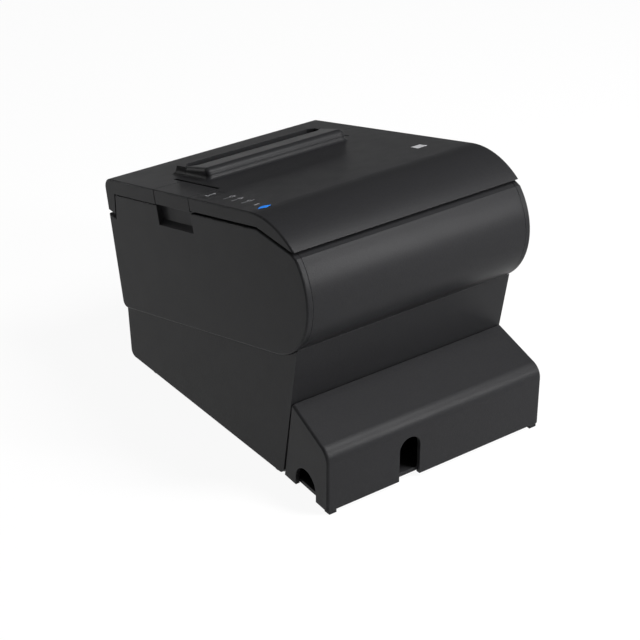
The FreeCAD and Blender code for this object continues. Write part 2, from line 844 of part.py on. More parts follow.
def crest_arc(radius, drop):
    """Point of an arc about the crest centre, drop below the flat top."""
    start = lip_place()[2]
    rise = CREST_RADIUS - drop
    return (start - math.sqrt(radius ** 2 - rise ** 2), -drop)


def lid_rim():
    """Near half of the raised rim round the paper exit, drawn flat."""
    half = EXIT_HALF + EXIT_WALL
    slope = (RIM_CREST_H - RIM_SEAM_H) / (LID_END_T - RIM_CREST_T)
    near = (RIM_NEAR_T, RIM_CREST_H + slope * (RIM_CREST_T - RIM_NEAR_T))
    wire = outline((LID_END_T, -1.0), (LID_END_T, RIM_SEAM_H), near, (RIM_NEAR_T, -1.0))
    rim = round_at(prism(wire, -half, half), [near], RIM_ROUND)
    for x in (-half, half):
        rim = round_side(rim, x, RIM_END_ROUND, lambda e: not_at(e, LID_END_T) and e.BoundBox.ZMax > -0.9)
    return rim


def not_at(edge, t):
    """True for the edges that don't lie in the plane at t, drawn flat."""
    return edge.BoundBox.YMin < t - 1e-4


def exit_slot(h0, h1):
    """Paper exit, with its corners cut off, drawn flat."""
    wide = EXIT_HALF
    narrow = EXIT_HALF - EXIT_CHAMFER
    near, far = EXIT_NEAR_T, EXIT_FAR_T
    corners = [(narrow, near), (wide, near + EXIT_CHAMFER), (wide, far - EXIT_CHAMFER), (narrow, far)]
    corners += [(-x, t) for x, t in reversed(corners)]
    points = [V(x, t, h0) for x, t in corners]
    return Part.Face(Part.makePolygon(points + points[:1])).extrude(V(0, 0, h1 - h0))


def round_base(shape):
    """Hollow round where the exit rim stands on the sloped skin, drawn flat."""
    half = EXIT_HALF + EXIT_WALL + 0.01
    picked = []
    for edge in shape.Edges:
        box = edge.BoundBox
        flat = abs(box.ZMin) < 1e-3 and abs(box.ZMax) < 1e-3
        if flat and -half < box.XMin and box.XMax < half and RIM_NEAR_T - 0.01 < box.YMin:
            picked.append(edge)
    return shape.makeFillet(RIM_BASE_ROUND, picked)


def lid_shell():
    """Roll cover: sloped skin, side skirts, crest, exit rim and control panel holes."""
    t, h, start = lip_place()
    turn_t, turn_h = in_top(SIDE_TURN_Y, side_drop_z(SIDE_TURN_Y))
    end_t, end_h = in_top(*ledge_end())
    gap = SIDE_TOP_DROP - LID_SKIRT
    wire = outline(
        (LID_END_T, 0.0),
        (start, 0.0),
        (crest_arc(CREST_RADIUS, -h / 3), (t, h)),
        (end_t, end_h + gap),
        (turn_t, turn_h + gap),
        (LID_END_T, -LID_SKIRT),
    )
    lid = prism(wire, -HALF, HALF)
    for x in (-HALF, HALF):
        lid = round_side(lid, x, EDGE_ROUND, lambda e: e.BoundBox.ZMax > h + 2 and on_skin(e))
    lid = round_base(lid.fuse(lid_rim()).removeSplitter())
    lid = lid.cut(lid_space(LID_WALL))
    half = EXIT_HALF + EXIT_WALL
    lid = lid.fuse(block(-half, half, EXIT_NEAR_T - 2, EXIT_NEAR_T, -GUIDE_DEPTH, -LID_WALL + 1))
    lid = lid.cut(exit_slot(-20, 20))
    lid = lid.cut(block(-HALF - 1, SLIT_X, LEVER_NEAR_T - SEAM, LID_END_T + 1, -20, 20))
    lid = lid.cut(block(NOTCH_X, NOTCH_X + NOTCH_WIDTH, NOTCH_T, NOTCH_T + NOTCH_LENGTH, -20, 20))
    lid = lid.cut(button_block(BUTTON_GAP, -20, 20))
    for boss_t in CONTROL_BOSS_TS:
        lid = lid.fuse(rod_z(LENS_X, boss_t, 2.0, CONTROL_BOARD_H, -LID_WALL + 0.5))
    for lens_t in LENS_TS:
        lid = lid.cut(lens_block(lens_t, 0.05, -20, 20))
    return on_slope(lid.removeSplitter())


def on_skin(edge):
    """True for the edges along the outer skin of the lid, drawn flat."""
    start = lip_place()[2]
    middle = edge.valueAt((edge.FirstParameter + edge.LastParameter) / 2)
    if middle.y >= start:
        return abs(middle.z) < 1e-3
    return abs(math.dist((middle.y, middle.z), (start, -CREST_RADIUS)) - CREST_RADIUS) < 1e-2


def button_block(grow, h0, h1):
    """Feed button, or the hole for it when grown, drawn flat."""
    return block(BUTTON_NEAR_X - grow, BUTTON_FAR_X + grow, BUTTON_NEAR_T - grow, BUTTON_FAR_T + grow, h0, h1)


def lens_block(lens_t, grow, h0, h1):
    """Light pipe with round ends, or its hole when grown, drawn flat."""
    length, width = LENS_SIZE
    radius = width / 2 + grow
    reach = length / 2 - width / 2
    bar = block(LENS_X - reach, LENS_X + reach, lens_t - radius, lens_t + radius, h0, h1)
    ends = [rod_z(LENS_X + side * reach, lens_t, radius, h0, h1) for side in (-1, 1)]
    return bar.fuse(ends).removeSplitter()


def feed_button():
    """Flush feed button with its stem."""
    cap = button_block(0.0, -LID_WALL, 0.0)
    stem_x = (BUTTON_NEAR_X + BUTTON_FAR_X) / 2
    stem_t = (BUTTON_NEAR_T + BUTTON_FAR_T) / 2
    stem = rod_z(stem_x, stem_t, 2.0, -5.2, -LID_WALL + 0.5)
    return on_slope(cap.fuse(stem).removeSplitter())


def indicator_lenses():
    """Three light pipes between the lid skin and the control board."""
    return group([on_slope(lens_block(t, 0.0, CONTROL_BOARD_H + 0.8, 0.0)) for t in LENS_TS])


def control_board():
    """Small board under the button and the indicators."""
    near_x = CONTROL_BOARD_INSET - HALF
    low = CONTROL_BOARD_H - BOARD_THICK
    board = block(
        near_x,
        near_x + CONTROL_BOARD_WIDTH,
        CONTROL_BOARD_NEAR_T,
        CONTROL_BOARD_FAR_T,
        low,
        CONTROL_BOARD_H,
    )
    switch_x = (BUTTON_NEAR_X + BUTTON_FAR_X) / 2
    switch_t = (BUTTON_NEAR_T + BUTTON_FAR_T) / 2
    top = CONTROL_BOARD_H
    board = board.fuse(block(switch_x - 3, switch_x + 3, switch_t - 3, switch_t + 2.4, top, top + 0.6))
    for t in LENS_TS:
        board = board.fuse(block(LENS_X - 1.5, LENS_X + 1.5, t - 1, t + 1, top, top + 0.7))
    return on_slope(board.removeSplitter())


def platen_carrier():
    """Inner frame of the lid: flange, two cheeks with bush holes and the blade shelf."""
    t, h = in_top(PLATEN_Y, PLATEN_Z)
    under = -LID_WALL
    half = CARRIER_X + CARRIER_THICK
    flange = block(-half, half, CARRIER_NEAR_T, EXIT_NEAR_T - 2.4, under - 2, under)
    wire = outline(
        (CARRIER_CHEEK_T, under - 2),
        (EXIT_NEAR_T - 2.4, under - 2),
        (EXIT_NEAR_T - 2.4, -GUIDE_DEPTH - 0.5),
        (LID_END_T - 2, -GUIDE_DEPTH - 0.5),
        (t + 7.2, h),
        (t + 4.0, h - 6.5),
        (t - 4.0, h - 6.5),
        (t - 8.0, h),
    )
    frame = flange
    for side in (-1, 1):
        x0, x1 = sorted((side * CARRIER_X, side * half))
        frame = frame.fuse(prism(wire, x0, x1))
    shelf_top = BLADE_H - BLADE_THICK * 1.5 - BLADE_GAP
    shelf_low = shelf_top - SHELF_THICK
    shelf_half = CARRIER_X + 1
    shelf = block(-shelf_half, shelf_half, SHELF_NEAR_T, LID_END_T - 2.5, shelf_low, shelf_top)
    frame = frame.fuse(shelf).removeSplitter().cut(rod_x(t, h, BUSH_RADIUS, -90, 90))
    return on_slope(frame)


def fixed_blade():
    """Fixed cutter blade on the lid, with its edge at the paper."""
    top = BLADE_H - BLADE_THICK / 2 - BLADE_GAP
    wire = outline(
        (FIXED_NEAR_T, top - BLADE_THICK),
        (FIXED_EDGE_T - 0.8, top - BLADE_THICK),
        (FIXED_EDGE_T, top - 0.2),
        (FIXED_EDGE_T, top),
        (FIXED_NEAR_T, top),
    )
    half = CARRIER_X - 0.5
    return on_slope(prism(wire, -half, half))


def hinge_arm(side):
    """Goose-neck arm from the hinge pin, under the panel ledge and up to the lid."""
    x0, x1 = sorted((side * ARM_X, side * (ARM_X + ARM_THICK)))
    half = ARM_WIDTH / 2
    lean = math.atan2(ARM_KNEE_Z - HINGE_Z, ARM_KNEE_Y - HINGE_Y)
    dy = -half * math.sin(lean)
    dz = half * math.cos(lean)
    reach = outline(
        (HINGE_Y + dy, HINGE_Z + dz),
        (ARM_KNEE_Y + dy, ARM_KNEE_Z + dz),
        (ARM_KNEE_Y - dy, ARM_KNEE_Z - dz),
        (HINGE_Y - dy, HINGE_Z - dz),
    )
    neck = block(x0, x1, ARM_KNEE_Y - half, ARM_KNEE_Y + half, ARM_KNEE_Z, 160)
    knee = rod_x(ARM_KNEE_Y, ARM_KNEE_Z, half, x0, x1)
    hub = rod_x(HINGE_Y, HINGE_Z, ARM_HUB, x0, x1)
    arm = prism(reach, x0, x1).fuse([neck, knee, hub])
    foot_t = in_top(ARM_KNEE_Y, TOP_MID_Z)[0]
    foot = block(x0, x1, foot_t - 6, foot_t + 22, -LID_WALL - 4, 0)
    arm = arm.fuse(on_slope(foot)).removeSplitter()
    arm = arm.common(on_slope(lid_space(LID_WALL).fuse(block(-60, 60, -200, 200, -200, -22))))
    return arm.cut(rod_x(HINGE_Y, HINGE_Z, HINGE_PIN_RADIUS + RUN_CLEARANCE, -90, 90))


def hinge_pins():
    """Two pins pressed into the frame cheeks, on which the lid arms turn."""
    pins = []
    for side in (-1, 1):
        x0, x1 = sorted((side * CHEEK_X, side * (ARM_X + ARM_THICK + 1)))
        pins.append(rod_x(HINGE_Y, HINGE_Z, HINGE_PIN_RADIUS, x0, x1))
    return group(pins)


def cutter_cover():
    """Cover over the cutter at the operator end, with the far half of the exit rim."""
    low = CUTTER_FLAP_Z
    near_t = LEVER_FAR_T + SEAM
    strip_y = face_y(low) - CUTTER_STRIP + SEAM
    corner_z = TOP_MID_Z - FACE_TOP_Y * math.tan(math.radians(TOP_TILT))
    for _ in range(30):
        corner_y = face_y(corner_z)
        corner_z = TOP_MID_Z - corner_y * math.tan(math.radians(TOP_TILT))
    drop = at_top(0.0, -CUTTER_SKIRT)
    slope = math.tan(math.radians(TOP_TILT))
    wire = outline(
        at_top(near_t, 0.0),
        (corner_y, corner_z),
        (face_y(low), low),
        (strip_y, low),
        (strip_y, drop[1] - (strip_y - drop[0]) * slope),
        at_top(near_t, -CUTTER_SKIRT),
    )
    cover = round_at(prism(wire, -HALF, HALF), [(corner_y, corner_z)], FACE_CORNER_ROUND)

    def outside(edge):
        middle = edge.valueAt((edge.FirstParameter + edge.LastParameter) / 2)
        t, h = in_top(middle.y, middle.z)
        return abs(h) < 1e-3 or middle.y > face_y(middle.z) - 3 and middle.z > low + 0.1

    for x in (-HALF, HALF):
        cover = round_side(cover, x, EDGE_ROUND, outside)
    inside = outline(
        at_top(near_t - 9, -WALL),
        (corner_y - WALL / math.cos(math.radians(FACE_LEAN)) - 0.5, at_wall(corner_y - WALL - 1.0)),
        (face_y(low - 10) - WALL, low - 10),
        (20.0, low - 10),
    )
    cover = off_slope(cover.cut(prism(inside, -HALF + WALL, HALF - WALL)))
    rim_t = LID_END_T + SEAM
    cover = cover.cut(block(SLIT_X - SLIT_WIDTH, HALF + 1, near_t - 9, rim_t, -30, 30))
    cover = round_base(cover.fuse(far_rim(rim_t)).removeSplitter())
    return on_slope(cover.cut(exit_slot(-30, 30)))


def far_rim(near_t):
    """Far half of the raised rim round the paper exit, drawn flat."""
    half = EXIT_HALF + EXIT_WALL
    back_t = EXIT_FAR_T + EXIT_WALL
    fall = RIM_BACK_RUN / RIM_SEAM_H
    rim = outline(
        (near_t, -1.0),
        (near_t, RIM_SEAM_H),
        (back_t, RIM_SEAM_H),
        (back_t + RIM_BACK_RUN + fall, -1.0),
    )
    guide = block(-half, half, EXIT_FAR_T, EXIT_FAR_T + 2, -GUIDE_DEPTH, 0)
    return prism(rim, -half, half).fuse(guide).removeSplitter()


def at_wall(y):
    """Height of the underside of the top skin at y."""
    t = (y + WALL * TILT_SIN) / TILT_COS
    return at_top(t, -WALL)[1]


# Lever and lock


def open_lever():
    """Cover-open lever: a hollow cap with its hub and the arm that works the lock."""
    t0, t1 = LEVER_NEAR_T, LEVER_FAR_T
    x1 = SLIT_X - SLIT_WIDTH
    cap = block(-HALF, x1, t0, t1, -LEVER_SKIRT, 0)
    outer = [e for e in cap.Edges if e.BoundBox.XMax < -HALF + 1e-3 and e.BoundBox.ZMin > -1e-3]
    cap = cap.makeFillet(EDGE_ROUND, outer)
    for t in (t0, t1):
        cap = cap.makeFillet(LEVER_EDGE, [e for e in cap.Edges if lever_end_edge(e, t)])
    wall = 2.2
    cap = cap.cut(block(-HALF + wall, x1 + 1, t0 + wall, t1 - wall, -LEVER_SKIRT - 1, -wall))
    cap = cap.cut(block(LEVER_PIVOT_X + LEVER_HUB, x1 + 1, t0 - 1, t1 + 1, -LEVER_SKIRT - 1, -wall))
    hub = lever_rod(LEVER_HUB, t0, t1)
    low = LEVER_PIVOT_H - LEVER_ARM_DROP
    arm_t0, arm_t1 = LEVER_ARM_T - LEVER_ARM_HALF, LEVER_ARM_T + LEVER_ARM_HALF
    arm = block(LEVER_PIVOT_X, LEVER_ARM_X, arm_t0, arm_t1, low, low + LEVER_ARM_THICK)
    cap = cap.fuse([hub, arm]).removeSplitter()
    return on_slope(cap.cut(lever_rod(LEVER_PIN_RADIUS + RUN_CLEARANCE, t0 - 1, t1 + 1)))


def lever_rod(radius, t0, t1):
    """Round bar along the lever's pivot, drawn flat."""
    return Part.makeCylinder(radius, t1 - t0, V(LEVER_PIVOT_X, t0, LEVER_PIVOT_H), V(0, 1, 0))


def lever_end_edge(edge, t):
    """True for the edges round the visible end of the lever cap at t, drawn flat."""
    box = edge.BoundBox
    inside = box.XMin > SLIT_X - SLIT_WIDTH - 0.1
    return box.YMin > t - 1e-4 and box.YMax < t + 1e-4 and box.ZMax > 0.1 - LEVER_SKIRT and not inside


def lever_bracket():
    """Bracket inside the left side cover, with an ear at each end of the lever."""
    ears = []
    inner = -HALF + WALL
    base = -RECESS_DROP - WALL - 0.6
    clear = -HALF + RECESS_DEPTH + WALL + 0.6
    ear = [
        (inner, base - 2.2), (inner, base), (clear, base), (clear, -SIDE_TOP_DROP - 0.6),
        (LEVER_PIVOT_X - 4.6, -SIDE_TOP_DROP - 0.6),
        (LEVER_PIVOT_X - 2.4, LEVER_PIVOT_H + 1.8), (LEVER_PIVOT_X + 2.2, LEVER_PIVOT_H + 1.8),
        (LEVER_PIVOT_X + 2.2, LEVER_PIVOT_H - 4.0), (inner + 9.0, base - 2.2),
    ]
    t0 = LEVER_NEAR_T - SEAM - EAR_THICK
    t1 = LEVER_FAR_T + SEAM + EAR_THICK
    for t in (t0, t1 - EAR_THICK):
        points = [V(x, t, h) for x, h in ear]
        ears.append(Part.Face(Part.makePolygon(points + points[:1])).extrude(V(0, EAR_THICK, 0)))
    strip = block(inner, inner + 7, t0, t1, base - 2.2, base)
    bracket = strip.fuse(ears).removeSplitter()
    return on_slope(bracket.cut(lever_rod(LEVER_PIN_RADIUS, t0 - 1, t1 + 1)))


def lever_pin():
    """Pin of the cover-open lever."""
    t0 = LEVER_NEAR_T - SEAM - EAR_THICK
    t1 = LEVER_FAR_T + SEAM + EAR_THICK
    return on_slope(lever_rod(LEVER_PIN_RADIUS, t0, t1))


def lock_shaft():
    """Cross shaft of the lid lock, with the crank under the lever arm."""
    shaft = rod_x(LOCK_Y, LOCK_Z, LOCK_RADIUS, LEVER_ARM_X - 4.5, GEAR_X - 0.3)
    push_y, push_z = at_top(LEVER_ARM_T - LEVER_ARM_HALF / 2, LEVER_PIVOT_H - LEVER_ARM_DROP - CRANK_GAP)
    crank = outline(
        (LOCK_Y - 4, LOCK_Z),
        (push_y - 2.5, push_z - 1.5),
        (push_y, push_z),
        (push_y + 2.5, push_z - 1.2),
        (LOCK_Y + 5, LOCK_Z + 1),
        (LOCK_Y, LOCK_Z - 4.5),
    )
    crank = prism(crank, LEVER_ARM_X - 3.0, LEVER_ARM_X - 0.6)
    return shaft.fuse(crank).removeSplitter()


def lock_hooks():
    """Two hooks on the lock shaft, reaching round the ends of the platen shaft."""
    hooks = []
    gap = SHAFT_RADIUS + 0.5
    for side in (-1, 1):
        x0, x1 = sorted((side * (CHEEK_X + SHEET + 0.4), side * (GEAR_X - 0.5)))
        wire = outline(
            (LOCK_Y - 4.5, LOCK_Z - 3.5),
            (LOCK_Y + 6, LOCK_Z - 4.5),
            (PLATEN_Y + 5, PLATEN_Z - 7.5),
            (PLATEN_Y + 7, PLATEN_Z),
            (PLATEN_Y + 5.5, PLATEN_Z + 5),
            (PLATEN_Y + gap, PLATEN_Z + 4),
            (PLATEN_Y + gap, PLATEN_Z),
            ((PLATEN_Y + gap * math.sqrt(0.5), PLATEN_Z - gap * math.sqrt(0.5)), (PLATEN_Y, PLATEN_Z - gap)),
            (PLATEN_Y - 4.5, PLATEN_Z - gap - 2.0),
            (LOCK_Y - 4.0, LOCK_Z + 3.5),
        )
        hooks.append(prism(wire, x0, x1).cut(rod_x(LOCK_Y, LOCK_Z, LOCK_RADIUS, -90, 90)))
    return group(hooks)


# Mechanism


def main_frame():
    """Bent sheet frame: a base plate and two cheeks that carry the whole mechanism."""
    outer = CHEEK_X + SHEET
    base = block(-outer, outer, FRAME_NEAR_Y, FRAME_FAR_Y, FRAME_BASE_Z, FRAME_BASE_Z + SHEET)
    slot = SHAFT_RADIUS + 0.7
    cutter_y, cutter_z = at_top(CUTTER_NEAR_T, CUTTER_PLATE_H)
    far_y, far_z = at_top(CUTTER_FAR_T, CUTTER_PLATE_H)
    wire = outline(
        (FRAME_NEAR_Y, FRAME_BASE_Z),
        (FRAME_FAR_Y, FRAME_BASE_Z),
        (FRAME_FAR_Y + 8, FRAME_BASE_Z + 12),
        (far_y - 2, far_z),
        (cutter_y, cutter_z),
        (PLATEN_Y + slot, cutter_z),
        (PLATEN_Y + slot, PLATEN_Z),
        ((PLATEN_Y, PLATEN_Z - slot), (PLATEN_Y - slot, PLATEN_Z)),
        (PLATEN_Y - slot, PLATEN_Z + 1),
        (LOCK_Y - 6, PLATEN_Z - 5),
        (BAY_Y + 20, BAY_Z + 20),
        (BAY_Y - 40, BAY_Z + 24),
        (HINGE_Y + 4, HINGE_Z + 7.5),
        ((HINGE_Y - 7.5, HINGE_Z), (HINGE_Y + 3, HINGE_Z - 7.0)),
        (FRAME_NEAR_Y, HINGE_Z - 16),
    )
    frame = base
    for side in (-1, 1):
        x0, x1 = sorted((side * CHEEK_X, side * outer))
        frame = frame.fuse(prism(wire, x0, x1))
    frame = frame.removeSplitter()
    holes = [
        rod_x(HINGE_Y, HINGE_Z, HINGE_PIN_RADIUS, -60, 60),
        rod_x(LOCK_Y, LOCK_Z, LOCK_RADIUS + RUN_CLEARANCE, -60, 60),
        rod_x(*head_place(*HEAD_PIN_PLACE), HEAD_PIN_RADIUS, -60, 60),
        rod_x(*idler_place(), IDLER_POST_RADIUS, 0, 60),
        rod_x(*motor_place(), MOTOR_BOSS_RADIUS + 0.3, 0, 60),
    ]
    for x, y in frame_posts():
        holes.append(rod_z(x, y, SCREW_RADIUS + RUN_CLEARANCE, FRAME_BASE_Z - 1, FRAME_BASE_Z + 5))
    for hole in holes:
        frame = frame.cut(hole)
    return frame


def paper_bay():
    """Drop-in trough for the paper roll, with its two end walls."""
    outer = BAY_RADIUS + BAY_WALL
    top_near = BAY_Z + 26
    top_far = BAY_Z + 6
    half = BAY_HALF
    foot = FRAME_BASE_Z + SHEET
    trough = outline(
        (BAY_Y - outer, top_near),
        (BAY_Y - outer, BAY_Z),
        ((BAY_Y, BAY_Z - outer), (BAY_Y + outer, BAY_Z)),
        (BAY_Y + outer, top_far),
        (BAY_Y + BAY_RADIUS, top_far),
        (BAY_Y + BAY_RADIUS, BAY_Z),
        ((BAY_Y, BAY_Z - BAY_RADIUS), (BAY_Y - BAY_RADIUS, BAY_Z)),
        (BAY_Y - BAY_RADIUS, top_near),
    )
    end = outline(
        (BAY_Y - outer, foot),
        (BAY_Y + outer, foot),
        (BAY_Y + outer, top_far),
        (BAY_Y + 20, BAY_Z + 20),
        (BAY_Y - 38, top_near),
        (BAY_Y - outer, top_near),
    )
    bay = prism(trough, -half, half)
    for side in (-1, 1):
        x0, x1 = sorted((side * half, side * (half + BAY_WALL)))
        bay = bay.fuse(prism(end, x0, x1))
    return bay.removeSplitter()


def paper_sensor():
    """Near-end sensor on the outside of the bay's end wall."""
    x1 = -BAY_HALF - BAY_WALL
    x0 = -CHEEK_X
    body = block(x0, x1, BAY_Y - 7, BAY_Y + 7, BAY_Z - 36, BAY_Z - 24)
    return body


def platen_shaft():
    """Steel shaft of the platen."""
    return rod_x(PLATEN_Y, PLATEN_Z, SHAFT_RADIUS, -GEAR_X + 0.6, GEAR_X + GEAR_THICK + 0.8)


def platen_rubber():
    """Rubber sleeve that feeds the paper."""
    sleeve = rod_x(PLATEN_Y, PLATEN_Z, PLATEN_RADIUS, -PLATEN_HALF, PLATEN_HALF)
    return sleeve.cut(rod_x(PLATEN_Y, PLATEN_Z, SHAFT_RADIUS, -90, 90))


def platen_bushes():
    """Flanged bushes in the carrier cheeks."""
    bushes = []
    for side in (-1, 1):
        x0, x1 = sorted((side * CARRIER_X, side * (CARRIER_X + CARRIER_THICK)))
        f0, f1 = sorted((side * (CARRIER_X - 1.0), side * CARRIER_X))
        barrel = rod_x(PLATEN_Y, PLATEN_Z, BUSH_RADIUS, x0, x1)
        flange = rod_x(PLATEN_Y, PLATEN_Z, BUSH_RADIUS + BUSH_FLANGE, f0, f1)
        bore = rod_x(PLATEN_Y, PLATEN_Z, SHAFT_RADIUS + RUN_CLEARANCE, -HALF, HALF)
        bushes.append(barrel.fuse(flange).removeSplitter().cut(bore))
    return group(bushes)


def mesh_distance(first, second):
    """Centre distance of two gears in mesh."""
    return GEAR_MODULE * (first + second) / 2


def idler_place():
    """Idler centre, straight back along the path on which the platen lifts off."""
    dy, dz = PLATEN_Y - HINGE_Y, PLATEN_Z - HINGE_Z
    reach = mesh_distance(PLATEN_TEETH, IDLER_TEETH) / math.hypot(dy, dz)
    return (PLATEN_Y + dz * reach, PLATEN_Z - dy * reach)


def motor_place():
    """Motor centre, under the idler."""
    y, z = idler_place()
    reach = mesh_distance(IDLER_TEETH, PINION_TEETH)
    angle = math.radians(MOTOR_ANGLE)
    return (y + reach * math.cos(angle), z + reach * math.sin(angle))


def meshed_phase(own_teeth, other_teeth, other_phase, direction):
    """Phase of a gear that meshes with another lying back along direction."""
    other_step = 2 * math.pi / other_teeth
    own_step = 2 * math.pi / own_teeth
    share = ((direction - other_phase) / other_step) % 1.0
    return direction + math.pi + (share + 0.5) * own_step


def gear_phases():
    """Phases of the platen gear, the idler and the motor pinion at rest."""
    y, z = idler_place()
    down = math.atan2(z - PLATEN_Z, y - PLATEN_Y)
    idler = meshed_phase(IDLER_TEETH, PLATEN_TEETH, down, down)
    pinion = meshed_phase(PINION_TEETH, IDLER_TEETH, idler, math.radians(MOTOR_ANGLE))
    return down, idler, pinion


def platen_gear():
    """Gear on the platen shaft."""
    wheel = gear(PLATEN_TEETH, SHAFT_RADIUS, GEAR_X, GEAR_X + GEAR_THICK, gear_phases()[0])
    return at_yz(wheel, PLATEN_Y, PLATEN_Z)


def idler_gear():
    """Idler between the motor pinion and the platen gear."""
    face = GEAR_X + GEAR_THICK
    wheel = gear(IDLER_TEETH, IDLER_POST_RADIUS + RUN_CLEARANCE, GEAR_X, face, gear_phases()[1])
    ring = rod_x(0, 0, IDLER_RING[1], face - 1.2, face + 1)
    wheel = wheel.cut(ring.cut(rod_x(0, 0, IDLER_RING[0], 0, HALF)))
    return at_yz(wheel, *idler_place())


def idler_post():
    """Post riveted to the cheek, on which the idler turns."""
    y, z = idler_place()
    post = rod_x(y, z, IDLER_POST_RADIUS, CHEEK_X, GEAR_X + GEAR_THICK + 0.4)
    face = GEAR_X + GEAR_THICK
    return post.fuse(rod_x(y, z, IDLER_POST_RADIUS + 1.4, face + 0.2, face + 1.2)).removeSplitter()


def motor_pinion():
    """Motor shaft with its pinion."""
    wheel = gear(PINION_TEETH, 0.4, GEAR_X, GEAR_X + GEAR_THICK, gear_phases()[2])
    shaft = rod_x(0, 0, 1.5, CHEEK_X - MOTOR_DEPTH + 3, GEAR_X + GEAR_THICK + 0.6)
    return at_yz(wheel.fuse(shaft).removeSplitter(), *motor_place())


def feed_motor():
    """Stepper motor screwed to the inside of the right cheek."""
    y, z = motor_place()
    x0 = CHEEK_X - MOTOR_DEPTH
    can = rod_x(y, z, MOTOR_RADIUS, x0, CHEEK_X - 1.2)
    can = can.makeFillet(1.5, [e for e in can.Edges if abs(e.BoundBox.XMax - x0) < 1e-4])
    flange = block(CHEEK_X - 1.2, CHEEK_X, y - 22, y + 22, z - 5, z + 5)
    boss = rod_x(y, z, MOTOR_BOSS_RADIUS, CHEEK_X - 1.2, CHEEK_X + SHEET)
    motor = can.fuse([flange, boss, rod_x(y, z, MOTOR_RADIUS, CHEEK_X - 1.2, CHEEK_X)]).removeSplitter()
    return motor.cut(rod_x(y, z, 1.5 + RUN_CLEARANCE, x0 + 2, CHEEK_X + 9))


def head_place(u, v):
    """(y, z) of a point u out from the platen centre and v along the print head."""
    angle = math.radians(HEAD_ANGLE)
    out = (math.cos(angle), math.sin(angle))
    return (PLATEN_Y + u * out[0] - v * out[1], PLATEN_Z + u * out[1] + v * out[0])


def head_outline(*places):
    """Outline given in print head coordinates."""
    return outline(*[head_place(u, v) for u, v in places])


def print_head():
    """Ceramic strip that faces the platen."""
    u = PLATEN_RADIUS + HEAD_GAP
    return prism(head_outline((u, -5), (u + 1, -5), (u + 1, 5), (u, 5)), -HEAD_HALF, HEAD_HALF)


def head_sink():
    """Finned heat sink behind the print head, hung on the head pin."""
    u = PLATEN_RADIUS + HEAD_GAP + 1
    plate = prism(head_outline((u, -13.5), (u + 3, -13.5), (u + 3, 6), (u, 6)), -HEAD_HALF, HEAD_HALF)
    fins = []
    root, tip = u + 2.5, u + FIN_HEIGHT
    for fin in range(FIN_COUNT):
        v = FIN_FIRST + fin * FIN_STEP
        low, high = v - FIN_THICK / 2, v + FIN_THICK / 2
        wire = head_outline((root, low), (tip, low), (tip, high), (root, high))
        fins.append(prism(wire, -HEAD_HALF, HEAD_HALF))
    y, z = head_place(*HEAD_PIN_PLACE)
    sink = plate.fuse(fins + [rod_x(y, z, HEAD_HUB, -HEAD_HALF, HEAD_HALF)]).removeSplitter()
    return sink.cut(rod_x(y, z, HEAD_PIN_RADIUS, -HALF, HALF))


def head_pin():
    """Pin that carries the print head between the cheeks."""
    y, z = head_place(*HEAD_PIN_PLACE)
    return rod_x(y, z, HEAD_PIN_RADIUS, -CHEEK_X - SHEET, CHEEK_X + SHEET)


# Cutter


def cutter_plate():
    """Base plate of the cutter between the cheeks, with the blade guides."""
    top = BLADE_H - BLADE_THICK / 2 - 0.1
    h0 = CUTTER_PLATE_H
    plate = block(-CHEEK_X, CHEEK_X, CUTTER_NEAR_T, CUTTER_FAR_T, h0, h0 + SHEET)
    for side in (-1, 1):
        x0, x1 = sorted((side * 36.0, side * (BLADE_HALF + 0.4)))
        plate = plate.fuse(block(x0, x1, CUTTER_NEAR_T, CUTTER_FAR_T, h0, top))
        x0, x1 = sorted((side * (BLADE_HALF + 0.3), side * CHEEK_X))
        plate = plate.fuse(block(x0, x1, CUTTER_NEAR_T, CUTTER_FAR_T, h0, top + BLADE_THICK + 0.5))
    plate = plate.removeSplitter()
    plate = plate.cut(rod_z(CUTTER_PINION_X, CUTTER_PINION_T, 3.0, h0 - 1, h0 + 9))
    return on_slope(plate)


def cutter_blade():
    """Moving blade with a shallow vee edge and the slot for the pinion shaft."""
    h0 = BLADE_H - BLADE_THICK / 2
    rear = CUTTER_FAR_T - 2
    points = [
        V(-BLADE_HALF, BLADE_EDGE_T, h0), V(0, BLADE_EDGE_T + BLADE_VEE, h0), V(BLADE_HALF, BLADE_EDGE_T, h0),
        V(BLADE_HALF, rear - 4, h0), V(30, rear - 4, h0), V(30, rear, h0),
        V(-6, rear, h0), V(-6, rear - 10, h0), V(-BLADE_HALF, rear - 10, h0),
    ]
    blade = Part.Face(Part.makePolygon(points + points[:1])).extrude(V(0, 0, BLADE_THICK))
    x, t = CUTTER_PINION_X, CUTTER_PINION_T
    slot = block(x - 2.3, x + 2.3, t - 2.6, CUTTER_FAR_T, h0 - 1, h0 + 3)
    return on_slope(blade.cut(slot))


def cutter_rack():
    """Rack on the blade, in mesh with the cutter pinion."""
    step = math.pi * GEAR_MODULE
    pitch_x = CUTTER_PINION_X + GEAR_MODULE * PINION_TEETH / 2
    root_x = pitch_x + ROOT_DEPTH * GEAR_MODULE
    tip_x = pitch_x - TIP_HEIGHT * GEAR_MODULE
    h0 = BLADE_H + BLADE_THICK / 2
    first = CUTTER_PINION_T - 2 * step
    points = [V(root_x + 3, first - step / 2, h0), V(root_x, first - step / 2, h0)]
    for tooth in range(RACK_TEETH):
        middle = first + tooth * step
        for x, share in tooth_shape(root_x, pitch_x, tip_x):
            points.append(V(x, middle + share * step, h0))
    last = first + (RACK_TEETH - 0.5) * step
    points += [V(root_x, last, h0), V(root_x + 3, last, h0)]
    return on_slope(Part.Face(Part.makePolygon(points + points[:1])).extrude(V(0, 0, RACK_THICK)))


